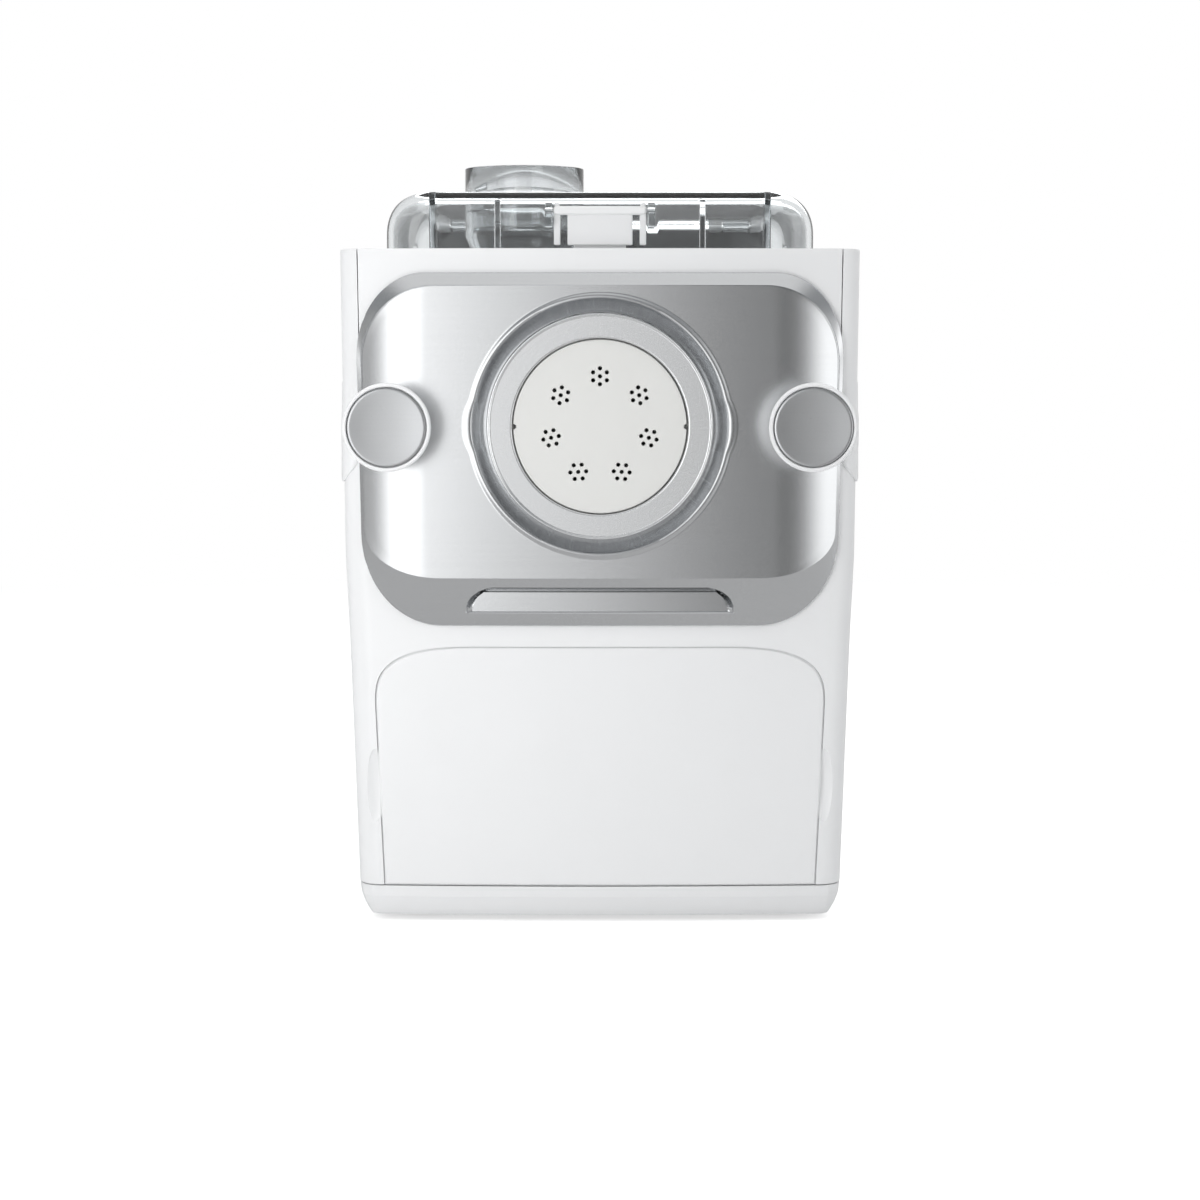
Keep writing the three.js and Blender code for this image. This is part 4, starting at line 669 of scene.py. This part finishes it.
# Rear cover: a white panel with two columns of vent slots, snapped into the back of the body. Cord
# inlet: a black rubbery gland that grips the panel with its groove.
DARK = (0.028, 0.03, 0.033)


def turned(profile, x, z, sides=160):
    """A profile of (radius, depth) carried round an axis that runs front to back through (x, z)."""
    angle = full_turn(sides)
    return Surface().grid([
        np.stack([x + radius * np.cos(angle), np.full(sides, float(depth)), z + radius * np.sin(angle)], -1)
        for radius, depth in profile
    ])


softened(white_plastic, 0.4, "rear_cover")
# The same dark plastic also paints shade: it makes the dark strip at the control housing's front, which
# stands in for the shade behind the lid.
dark_plastic = moulded("dark_plastic", DARK, 0.45, 700, 0.0001)
gland_profile = [
    (4.2, 187.6), (9, 187.6), (9, 190.4), (11.8, 190.4), (12, 190.6),
    (12, 193.2), (11.8, 193.4), (9, 193.4), (9, 199.3), (8.6, 199.7),
    (5, 199.7), (4.2, 199), (4.2, 187.6),
]
turned(gland_profile, 62, 58, 48).piece("cord_gland", dark_plastic, "cord_inlet", crease=40)

# Drive: a motor in a dark cradle, two pairs of spur gears in a dark case, and the shaft that turns screw
# and paddle. Boards: green power board in the body, green display board under the panel.
BOARD_GREEN = (0.03, 0.12, 0.06)
board_green = moulded("board_green", BOARD_GREEN, 0.4, 400, 0.00005)
softened(dark_plastic, 0.3, "motor_cradle", "gearbox_case", "gearbox_cover", "motor_fan")
STEEL_PARTS = "motor_body", "motor_shaft", "motor_pinion", "idler_axle", "idler_pinion", "shaft_bearing"
softened(plain_steel, 0, *STEEL_PARTS)
softened(plain_steel, 0.2, "drive_shaft")
softened(off_white_plastic, 0, "idler_gear", "output_gear")
softened(board_green, 0, "power_board", "display_board")
softened(foot_rubber, 0.2, "shaft_seal")

# Mixing bowl: a clear moulded trough with the extruding tube at its front. Screw and paddle: off-white
# mouldings on the drive shaft, drawn out through the front for washing.
CLEAR = (0.96, 0.97, 0.975)
CLEAR_DEEP = (0.55, 0.6, 0.62)


def clear_plastic(name, colour, rough):
    """Clear moulded plastic: faint flow marks in its skin, and a grey tint that deepens with its
    thickness, so that edges and long ways through it look darker."""
    finish = Finish(name)
    place = finish.add("TexCoord", out="Object")
    haze = finish.noise(place, 35, 3)
    wave = finish.noise(place, 60, 1)
    material = finish.principled({
        "Base Color": finish.blend(haze, toned(colour, 0.96), colour),
        "Roughness": (haze - 0.5) * 0.04 + rough,
        "Normal": finish.bump(wave, 0.06, 0.0004),
        "IOR": 1.49,
        "Transmission Weight": 1,
    })
    tint = finish.add("VolumeAbsorption", sockets={"Color": CLEAR_DEEP, "Density": 45})
    finish.output("Material", tint, "Volume")
    return material


clear_lid = clear_plastic("clear_lid", CLEAR, 0.04)
softened(clear_lid, 0, "mixing_chamber")
softened(off_white_plastic, 0.2, "extruding_screw")
softened(off_white_plastic, 0.6, "mixing_paddle")

# Carrier: the white inner panel of the removable front. It shows as a strip over the silver plate and
# hooks behind the body's upper edge.
softened(white_plastic, 0.4, "panel_carrier")

# Front plate: pressed silver skin over the carrier. Its face bows with the body and rolls back at both
# sides, a bevel with a fine groove runs along its top, a slope with a finger grip along its foot, and a
# dish with two finger notches holds the fixing ring.
SILVER = (0.6, 0.61, 0.62)
PLATE_HALF = 111
PLATE_PROUD = 7
PLATE_EDGE = 1.6
PLATE_BACK = -165
ROLL_START = 0.72 * PLATE_HALF
AXIS = 232
DISH_PROFILE = [
    (61.2, 0), (60.9, -0.02), (60.4, -0.2), (59.9, -0.5), (59.3, -0.7),
    (58.7, -0.7), (58.2, -0.45), (57.8, 0.1), (57.4, 0.9), (56.9, 1.9), (55.4, 3.9),
    (53.9, 5.4), (53, 5.9), (52.1, 6.1), (52.1, 9),
]
NOTCH_SPREAD = 13
NOTCH_DEEP = 2.2


def plate_outline(half_top, half_low, low, high, top_corner, low_corner):
    """The plate's outline: slightly tapered sides between elliptic corners, given as (wide, tall)."""
    top_wide, top_tall = top_corner
    low_wide, low_tall = low_corner
    right_low = corner(half_low - low_wide, low + low_tall, low_wide, low_tall, -90)
    right_top = corner(half_top - top_wide, high - top_tall, top_wide, top_tall, 0)
    return even_outline(low, high, right_low, right_top, (160, 50, 60))


def plate_face(x):
    """The plate's face: the body's bow, brought forward, and rolled back near both sides."""
    bent = np.clip((np.abs(x) - ROLL_START) / (PLATE_HALF - ROLL_START), 0, 1)
    return front_face(x) - PLATE_PROUD + (PLATE_PROUD - PLATE_EDGE) * bent**2


def grip_depth(x, z):
    """How deep the finger grip is: zero outside a D with a flat foot. Inside, a shelf slopes back from
    the foot to a thin lip, and a deep gap runs along the top behind the lip."""
    low, high, foot_half, top_half = 146, 157.9, 62, 47.5
    rise = np.clip((z - low) / (high - low), 0, 1)
    side = top_half + (foot_half - top_half) * np.sqrt(np.clip(1 - rise**2.2, 0, 1))
    inset = np.minimum(side - np.abs(x), (high - z) * 1.15)
    walls = eased(np.clip(inset / 1.1, 0, 1) * np.clip((z - low) / 0.7, 0, 1))
    shelf = eased(np.clip((inset - 1.9) / 0.8, 0, 1))
    gap = 8 * np.clip((rise - 0.12) / 0.6, 0.12, 1)
    return walls * (gap * (1 - shelf) + shelf * (1 + 3.2 * rise))


def plate_rows():
    """Rows from the plate's hidden edge, over the bevel and slope, across the face, into the dish and
    back along the hidden side. Each row is the outline, moved toward the dish's circle."""
    outer = plate_outline(111.7, 110.2, 139.9, 302, (31, 38), (37, 43))
    inner = plate_outline(109.9, 108.6, 162.3, 296.1, (34, 34), (35, 21))
    edge = front_face(outer[:, 0]) - PLATE_EDGE
    rows = [
        upright_row(outer, front_face(outer[:, 0]) - 0.3),
        upright_row(outer, edge + 0.5),
        upright_row(outer + (inner - outer) * 0.012, edge + 0.12),
        upright_row(outer + (inner - outer) * 0.035, edge - 0.1),
    ]
    inner_depth = plate_face(inner[:, 0])
    for share in np.linspace(0.06, 1, 60):
        flat = outer + (inner - outer) * share
        depth = edge + (inner_depth - edge) * share
        rows.append(upright_row(flat, depth + grip_depth(flat[:, 0], flat[:, 1])))
    hub = np.array([0, AXIS])
    toward = outer - hub
    toward /= np.linalg.norm(toward, axis=1, keepdims=True)
    turn = np.degrees(np.arcsin(np.clip(toward[:, 1], -1, 1)))
    notch = NOTCH_DEEP * (1 - np.clip(np.abs(turn) / NOTCH_SPREAD, 0, 1) ** 3) ** 2
    rim = hub + toward * (DISH_PROFILE[0][0] + 0.4 + notch)[:, None]
    topward = np.clip((inner[:, 1] - 225) / 40, 0, 1)
    for share, groove in ((0.006, 0.5), (0.012, 0.5), (0.018, 0)):
        flat = part_way(inner, rim, share)
        rows.append(upright_row(flat, plate_face(flat[:, 0]) + groove * topward))
    for share in np.linspace(0.02, 1, 46)[1:] ** 0.8:
        flat = part_way(inner, rim, share)
        rows.append(upright_row(flat, plate_face(flat[:, 0])))
    for step, (radius, depth) in enumerate(DISH_PROFILE):
        fade = max(0, 1 - step / (len(DISH_PROFILE) - 2.5))
        flat = hub + toward * (radius + notch * fade)[:, None]
        level = part_way(plate_face(flat[:, 0]), BODY_FRONT - PLATE_PROUD, min(1, depth / 2))
        rows.append(upright_row(flat, level + depth))
    rows.append(upright_row(hub + toward * 53, PLATE_BACK))
    rows.append(upright_row(outer * 0.985 + hub * 0.015, PLATE_BACK))
    rows.append(rows[0])
    return rows


silver_metal = satin_metal("silver_metal", SILVER, 0.24, 0.45, 0.1)
Surface().grid(plate_rows()).piece("silver_plate", silver_metal, "front_plate", crease=24)

# Fixing ring: a turned silver ring that screws over the tube and holds the disc by its lip. Its face is
# flat between two broken edges.
RING_SILVER = (0.76, 0.77, 0.78)
ring_profile = [
    (40, -179.6), (40, -182.9), (40.15, -183.25), (40.4, -183.45),
    (40.8, -183.5), (41.1, -183.5), (49.7, -183.5), (50, -183.5), (50.3, -183.65),
    (50.6, -183.85), (50.9, -183.9), (51.2, -183.8), (51.4, -183.45),
    (51.5, -182.9), (51.5, -164.2), (51.3, -164), (43.7, -164), (43.45, -164.2),
    (43.45, -178.6), (40, -178.6), (40, -179.6),
]
ring_metal = satin_metal("ring_metal", RING_SILVER, 0.26, 0.2, 0.02)
turned(ring_profile, 0, AXIS).piece("ring_turned", ring_metal, "fixing_ring", crease=40)

# Shaping disc: a white moulded disc with seven groups of seven holes that shape the strands, a flange
# that the ring presses on, and two small notches in its rim that keep it from turning.
HOLE = 1.45
PITCH = 3.6
GROUP_CIRCLE = 22.8
RIM = 39.1
RIM_SIDES = 320
RIM_NOTCH_HALF = 1.3
RIM_NOTCH_DEEP = 1.3
DISC_MIDDLE = -179
DISC_HALF = 3.2
DISC_EDGE = 0.3


def loop_points(x, z, radius, sides):
    """The points of a circle in the disc's own plane, in metres, as a curve's spline takes them."""
    angle = full_turn(sides)
    flat = np.stack([x + radius * np.cos(angle), z + radius * np.sin(angle)], -1) * MM
    return np.concatenate([flat, np.zeros((sides, 1)), np.ones((sides, 1))], 1)


def hole_middles():
    """A group's middle hole and six round it, for each of seven groups on one circle."""
    group = math.pi / 2 + 2 * math.pi * np.arange(7) / 7
    middles = GROUP_CIRCLE * np.stack([np.cos(group), np.sin(group)], -1)
    around = group[:, None] + math.pi / 3 * np.arange(6)
    outer = middles[:, None] + PITCH * np.stack([np.cos(around), np.sin(around)], -1)
    return np.concatenate([middles[:, None], outer], 1).reshape(-1, 2)


disc_curve = bpy.data.curves.new("disc_outline", "CURVE")
disc_curve.dimensions = "2D"
disc_curve.fill_mode = "BOTH"
disc_curve.extrude = DISC_HALF * MM
disc_curve.bevel_depth = DISC_EDGE * MM
disc_curve.bevel_resolution = 1
rim_turn = np.linspace(0, 360, RIM_SIDES, endpoint=False)
from_notch = np.minimum(rim_turn % 180, 180 - rim_turn % 180)
rim_radius = RIM - RIM_NOTCH_DEEP * (from_notch < RIM_NOTCH_HALF)
loops = [loop_points(0, 0, rim_radius, RIM_SIDES)]
loops += [loop_points(x, z, HOLE - 0.2, 20) for x, z in hole_middles()]
for loop in loops:
    spline = disc_curve.splines.new("POLY")
    spline.points.add(len(loop) - 1)
    spline.points.foreach_set("co", loop.ravel())
    spline.use_cyclic_u = True
disc_shape = placed("disc_outline", disc_curve)
bpy.context.view_layer.update()
shape = bpy.data.meshes.new_from_object(disc_shape.evaluated_get(bpy.context.evaluated_depsgraph_get()))
bpy.data.objects.remove(disc_shape)
stand_up = Matrix(((1, 0, 0, 0), (0, 0, -1, DISC_MIDDLE * MM), (0, 1, 0, AXIS * MM), (0, 0, 0, 1)))
shape.transform(stand_up)
hand_over(placed("disc_face", shape), off_white_plastic, "shaping_disc", crease=50)
flange_profile = [
    (39.2, -178.2), (42.8, -178), (43, -177.8), (43, -174.2), (42.8, -174),
    (39.2, -174), (39.2, -178.2),
]
turned(flange_profile, 0, AXIS).piece(
    "disc_flange", off_white_plastic, body="front", slot="off_white_plastic", crease=40
)

# Clamp knobs: white round knobs at both sides, hollow at the face, with a brushed and slightly dished
# silver cap pressed in. Each turns a steel screw into its nut on the bulkhead.
CAP_SILVER = (0.54, 0.55, 0.56)
KNOB_OUT = 95.7
knob_profile = [
    (0, -176), (17.6, -176), (18.2, -176.2), (18.4, -176.8), (18.8, -184),
    (19.3, -190), (19.85, -196.4), (20, -198), (19.95, -198.9),
    (19.65, -199.6), (19.2, -199.95), (18.7, -200), (18.3, -199.75),
    (18.1, -199.2), (18.05, -197.4), (0, -197.4),
]
cap_profile = [
    (0, -197.5), (17.6, -197.5), (17.7, -199.3), (17.55, -199.65), (17.2, -199.8),
    (16.4, -199.76), (13, -199.56), (9, -199.38), (4.5, -199.27), (0, -199.24),
]
cap_metal = satin_metal("cap_metal", CAP_SILVER, 0.3, 0.2, 0.12)
for word, x in (("left", -KNOB_OUT), ("right", KNOB_OUT)):
    turned(knob_profile, x, AXIS, 96).piece(word + "_knob_body", white_plastic, word + "_knob", crease=40)
    turned(cap_profile, x, AXIS, 96).piece(word + "_cap_face", cap_metal, word + "_knob_cap", crease=40)
    softened(plain_steel, 0.2, word + "_clamp_screw")

# Drawer: a white moulded panel that follows the body's bow, with wide rounded shoulders and an edge that
# rolls into the seam, and a bare face. It is screwed to an off-white bin that runs on two rails.
DRAWER_EDGE = 0.9
DRAWER_THICK = 3.8
DRAWER_STEP = 0.38


def drawer_rows(middle):
    """Rows from the middle of the panel's back, over its stepped and rolled edge, to its face's middle."""
    outer, rim = drawer_outline(0), drawer_outline(DRAWER_EDGE)
    rows = []
    for share in np.linspace(1, 0, 12)[:-1]:
        flat = part_way(outer, middle, share)
        rows.append(upright_row(flat, front_face(flat[:, 0]) + DRAWER_THICK))
    grown = drawer_outline(-DRAWER_STEP)
    rows.append(upright_row(grown, front_face(outer[:, 0]) + DRAWER_THICK))
    rows.append(upright_row(grown, front_face(outer[:, 0]) + DRAWER_EDGE + 0.25))
    for turn in np.linspace(0, np.pi / 2, 6):
        flat = drawer_outline(DRAWER_EDGE * (1 - math.cos(turn)))
        rows.append(upright_row(flat, front_face(flat[:, 0]) + DRAWER_EDGE * (1 - math.sin(turn))))
    for share in np.linspace(0, 1, 30)[1:]:
        flat = part_way(rim, middle, share)
        rows.append(upright_row(flat, front_face(flat[:, 0])))
    return rows


Surface().grid(drawer_rows((0, 74))).piece("drawer_panel", white_plastic, "drawer_front", crease=50)
softened(off_white_plastic, 0.5, "drawer_bin")

# Control housing behind the lid: a white moulding with a rolled top edge, screwed to the body's deck from
# below. It has the lid's hinge arms at its front, and behind the lid a dark strip of painted shade: a dark
# sheet that stands in for the shade on the housing's front.
CONTROL_LOW = 313.3
CONTROL_TOP = 341
CONTROL_ROLL = 5
CONTROL_HALF = 94
CONTROL_FRONT = 51
CONTROL_REAR = 197
CONTROL_CORNER = 14
BUTTONS = {"power": -58, "program": -29, "flour": 0, "time": 29, "start": 58}
BUTTON_ROW = 118
STEM_HOLE = 6.3
HINGE_ROW = (45.5, 338)
HINGE_ARM = 4.5
HINGE_HOLE = 1.8


def control_rows():
    """The housing's side wall, and the quarter round that rolls it over into the top."""
    front, back, half = CONTROL_FRONT, CONTROL_REAR, CONTROL_HALF
    rows = [level_row(rounded_plan(half, front, back, CONTROL_CORNER), CONTROL_LOW)]
    for turn in np.linspace(0, np.pi / 2, 9):
        inset = CONTROL_ROLL * (1 - math.cos(turn))
        plan = rounded_plan(half - inset, front + inset, back - inset, CONTROL_CORNER - inset)
        rows.append(level_row(plan, CONTROL_TOP - CONTROL_ROLL * (1 - math.sin(turn))))
    return rows


def bar_across(radius, start, end, place, ease=0, sides=32):
    """A round bar that runs from side to side at place (y, z), with its two end edges eased."""
    near, far = sorted((start, end))
    profile = [(0, near), (radius - ease, near), (radius, near + ease), (radius, far - ease)]
    profile += [(radius - ease, far), (0, far)]
    angle = full_turn(sides)
    return Surface().grid([
        np.stack([np.full(sides, x), place[0] + r * np.cos(angle), place[1] + r * np.sin(angle)], -1)
        for r, x in profile
    ])


def round_bore(radius, x, y, low, sides):
    """A tool that bores a round hole from a height up through the top."""
    return turned_up([(0, low), (radius, low), (radius, 345), (0, 345)], x, y, sides)


# The hollow inside, the recess for the panel, the display's hole and a hole for each button's stem.
control_tools = [
    (CUT, straight_up(rounded_plan(91.4, 53.6, 194.4, 11.4), 310, 336)),
    (CUT, straight_up(rounded_plan(75.3, 91.7, 182.3, 6.3), 338.2, 345)),
    (CUT, straight_up(rounded_plan(28, 149, 167, 1.5), 330, 345)),
]
control_tools += [(CUT, round_bore(STEM_HOLE, x, BUTTON_ROW, 330, 32)) for x in BUTTONS.values()]
for side in (-1, 1):
    for start, end in ((58.4, 65.4), (80.6, 87.6)):
        arm = block((side * start, 45.5, 333.5), (side * end, 53, 341), 0.3)
        eye = bar_across(HINGE_ARM, side * start, side * end, HINGE_ROW, 0.3, 40)
        control_tools += [(JOIN, arm), (JOIN, eye)]
    control_tools.append((CUT, bar_across(HINGE_HOLE, side * 57, side * 89, HINGE_ROW, sides=24)))
hand_over(carve(capped(control_rows()), "control_body", control_tools), white_plastic, "control_housing")
softened(plain_steel, 0.2, "lid_hinge_pin_left", "lid_hinge_pin_right")


def strip_rows(low, high):
    """A thin dark strip of painted shade that follows the housing's front and turns a little way round both
    of its corners.
    """
    turn = np.radians(np.linspace(-90, -48, 8))
    right = np.stack([np.cos(turn), np.sin(turn)], -1)
    outward = np.concatenate([right[::-1] * (-1, 1), right])
    middle = (CONTROL_HALF - CONTROL_CORNER, CONTROL_FRONT + CONTROL_CORNER)
    right = middle + CONTROL_CORNER * right
    path = np.concatenate([right[::-1] * (-1, 1), right])
    section = [(-0.4, low), (0.3, low), (0.45, low + 0.2)]
    section += [(0.45, high - 0.2), (0.3, high), (-0.4, high)]
    return [level_row(path + outward * stand, height) for stand, height in section]


# The dark strip is painted shade: a dark sheet where the housing's front lies in shade behind the lid.
strip_skin = strip_rows(314.2, 335.8)
strip = Surface().grid(strip_skin, closed=False).grid([strip_skin[0], strip_skin[-1]], closed=False)
for first, step in ((0, 1), (15, -1)):
    strip.faces.append([row * 16 + first for row in range(6)][::step])
strip.piece("painted_shade_strip", dark_plastic, body="machine", slot="dark_plastic", crease=40)

# Control panel: a black glossy sheet bonded into the housing's top, with a window over the display and
# five push buttons on springs, dished a little for the finger tip.
PANEL_BLACK = (0.012, 0.013, 0.015)
BUTTON_GREY = (0.55, 0.56, 0.57)
BUTTON_HOLE = 8.8
panel_rows = [
    level_row(rounded_plan(75, 92, 182, 6), 338.5),
    level_row(rounded_plan(75, 92, 182, 6), 340.6),
    level_row(rounded_plan(74.7, 92.3, 181.7, 5.7), 340.9),
]
panel_tools = [(CUT, straight_up(rounded_plan(31.3, 145.7, 170.3, 3.3), 335, 345))]
panel_tools += [(CUT, round_bore(BUTTON_HOLE, x, BUTTON_ROW, 335, 48)) for x in BUTTONS.values()]
black_gloss = moulded("black_gloss", PANEL_BLACK, 0.14, 300, 0.00002, 0.5)
hand_over(carve(capped(panel_rows), "panel_sheet", panel_tools), black_gloss, "control_panel")

WINDOW_GREY = (0.1, 0.115, 0.12)
window_glass = moulded("window_glass", WINDOW_GREY, 0.08, 300, 0.00001, 0.8)
softened(window_glass, 0.3, "display_window")

button_profile = [
    (0, 334), (6, 334), (6, 340), (8.5, 340), (8.5, 342),
    (8.3, 342.4), (7.8, 342.6), (6.6, 342.45), (5, 342.3), (2.5, 342.22),
    (0, 342.2),
]
button_plastic = moulded("button_plastic", BUTTON_GREY, 0.38, 900, 0.00006)
for word, x in BUTTONS.items():
    cap = turned_up(button_profile, x, BUTTON_ROW, 64)
    cap.piece(word + "_key_cap", button_plastic, word + "_button", crease=40)

# Lid: a clear moulded vault over the mixing bowl, on two hinge pins. Its front and back are flat inside a
# soft edge, its sides roll over into the roof, and a funnel under the cup leads down into the bowl.
LID_FRONT = -150
LID_BACK = 40
LID_WALL = 2.8
LID_LOW = 313.4
LID_TOP = 340
LID_HALF = 100
LID_SHOULDER = 20
CUP_PLACE = (-37.5, -60)
LATCH_ROW = (-156.3, 330.75)
LATCH_HOLE = 1.5
CUP_HOLE = 26.6


def arch(half, top, shoulder):
    """The vault's section: up one side, over a superelliptic shoulder, across the roof and down again."""
    right = corner(half - shoulder, top - shoulder, shoulder, shoulder, 0, 2.3, 24)
    side = np.concatenate([[[half, LID_LOW]], run((half, LID_LOW), right[0], 6), right])
    roof = run(right[-1], (-right[-1][0], top), 30)
    return np.concatenate([side, roof, side[::-1] * (-1, 1)])


def vault_rows(inset, plan_round, fall_deep, fall_long):
    """Sections from front to back. Near both ends the sides draw in round the plan's corners, and the
    roof falls by fall_deep on a quarter ellipse that is fall_long long."""
    front, back = LID_FRONT + inset, LID_BACK - inset
    ends = plan_round * (1 - np.cos(np.linspace(0, np.pi / 2, 10)))
    places = np.concatenate([front + ends, [(front + back) / 2], back - ends[::-1]])
    rows = []
    for y in places:
        gap = min(y - front, back - y)
        corner_in = plan_round - math.sqrt(max(0, plan_round**2 - max(0, plan_round - gap) ** 2))
        edge = max(0, fall_long - gap) / fall_long
        fall = fall_deep * (1 - math.sqrt(max(0, 1 - edge**2)))
        flat = arch(LID_HALF - inset - corner_in, LID_TOP - inset - fall, LID_SHOULDER - inset)
        rows.append(upright_row(flat, y))
    return np.array(rows)


def lid_walls():
    """The vault's outside and inside, both flat ends of each, and the rim between them."""
    outside = vault_rows(0, 15, 5.2, 5.5)
    inside = vault_rows(LID_WALL, 12.5, 3.6, 9)
    lid = Surface().grid(outside, closed=False)
    lid.grid(inside[:, ::-1], closed=False)
    for end in (0, -1):
        feet = [shell[end] * (1, 1, 0) + (0, 0, LID_LOW) for shell in (outside, inside)]
        for shell, foot in zip((outside, inside), feet):
            lid.grid(np.stack([foot, shell[end]]), closed=False)
        lid.grid(np.stack(feet), closed=False)
    for end in (0, -1):
        lid.grid(np.stack([outside[:, end], inside[:, end]]), closed=False)
    return lid


funnel = [
    (26.6, 337.6), (29.4, 337.6), (29.4, 324), (22.8, 306.4), (22.4, 306),
    (20.4, 306), (20, 306.4), (26.6, 324), (26.6, 337.6),
]
lid_tools = []
for side in (-1, 1):
    long_rib = block((side * 76.4, -147.6, 313.6), (side * 79.2, -132, 337.6), 0.3)
    short_rib = block((side * 46.2, -147.6, 313.5), (side * 49, -145.2, 336.5), 0.3)
    lid_tools += [(JOIN, long_rib), (JOIN, short_rib)]
lid_tools.append((JOIN, turned_up(funnel, *CUP_PLACE)))
lid_tools.append((CUT, round_bore(CUP_HOLE, *CUP_PLACE, 330, 96)))
for side in (-1, 1):
    lid_tools += [
        (JOIN, block((side * 66, 38.6, 333.5), (side * 80, 45.5, 339.9))),
        (JOIN, bar_across(HINGE_ARM, side * 66, side * 80, HINGE_ROW, 0.3, 40)),
        (JOIN, block((side * 21.9, -159.6, 322.95), (side * 25.3, -148.6, 334.1), 0.5)),
        (CUT, bar_across(HINGE_HOLE, side * 60, side * 86, HINGE_ROW, sides=24)),
        (CUT, bar_across(LATCH_HOLE, side * 17, side * 29, LATCH_ROW, sides=24)),
    ]
hand_over(carve(lid_walls(), "lid_vault", lid_tools), clear_lid, "lid_shell")
softened(plain_steel, 0.2, "latch_pin_left", "latch_pin_right")

# Inlet cup: a clear round cup that drops into the lid, with a step it rests on and three pouring slots.
cup_profile = [
    (0, 326), (25.6, 326), (26, 326.4), (26, 340), (26.3, 340.3),
    (29, 340.3), (29.4, 340.7), (29.4, 356.1), (29.25, 356.5), (28.9, 356.6),
    (27.9, 356.6), (27.55, 356.5), (27.4, 356.1), (27.4, 343), (26.8, 342.3),
    (24.5, 342.3), (24, 341.8), (24, 328.6), (23.4, 328), (0, 328),
]
x = CUP_PLACE[0]
slots = [(CUT, block((x - 13, y - 2, 322), (x + 13, y + 2, 330), 0.8)) for y in (-73, -60, -47)]
cup = carve(turned_up(cup_profile, *CUP_PLACE, 128), "cup_body", slots)
hand_over(cup, clear_lid, "inlet_cup")

# Latch: a white bar on two posts that hangs on the lid's pins, with a grip panel between the posts and
# two round pegs on top. A spring behind it keeps it hooked to the front panel.
latch_tools = [(JOIN, block((-15, -156.2, 315), (15, -153.85, 330)))]
peg = [(0, 330), (1.2, 330), (1.2, 333.6), (0.9, 334.1), (0, 334.2)]
for side in (-1, 1):
    latch_tools += [
        (JOIN, block((side * 18.3, -156.2, 315), (side * 21.3, -153.85, 331))),
        (JOIN, turned_up(peg, side * 19.8, -155, 32)),
        (CUT, bar_across(LATCH_HOLE, side * 17.9, side * 25, LATCH_ROW, sides=24)),
    ]
latch = carve(block((-21.3, -158.7, 328.8), (21.3, -153.9, 332.7), 0.7), "latch_body", latch_tools)
hand_over(latch, white_plastic, "latch_flap")
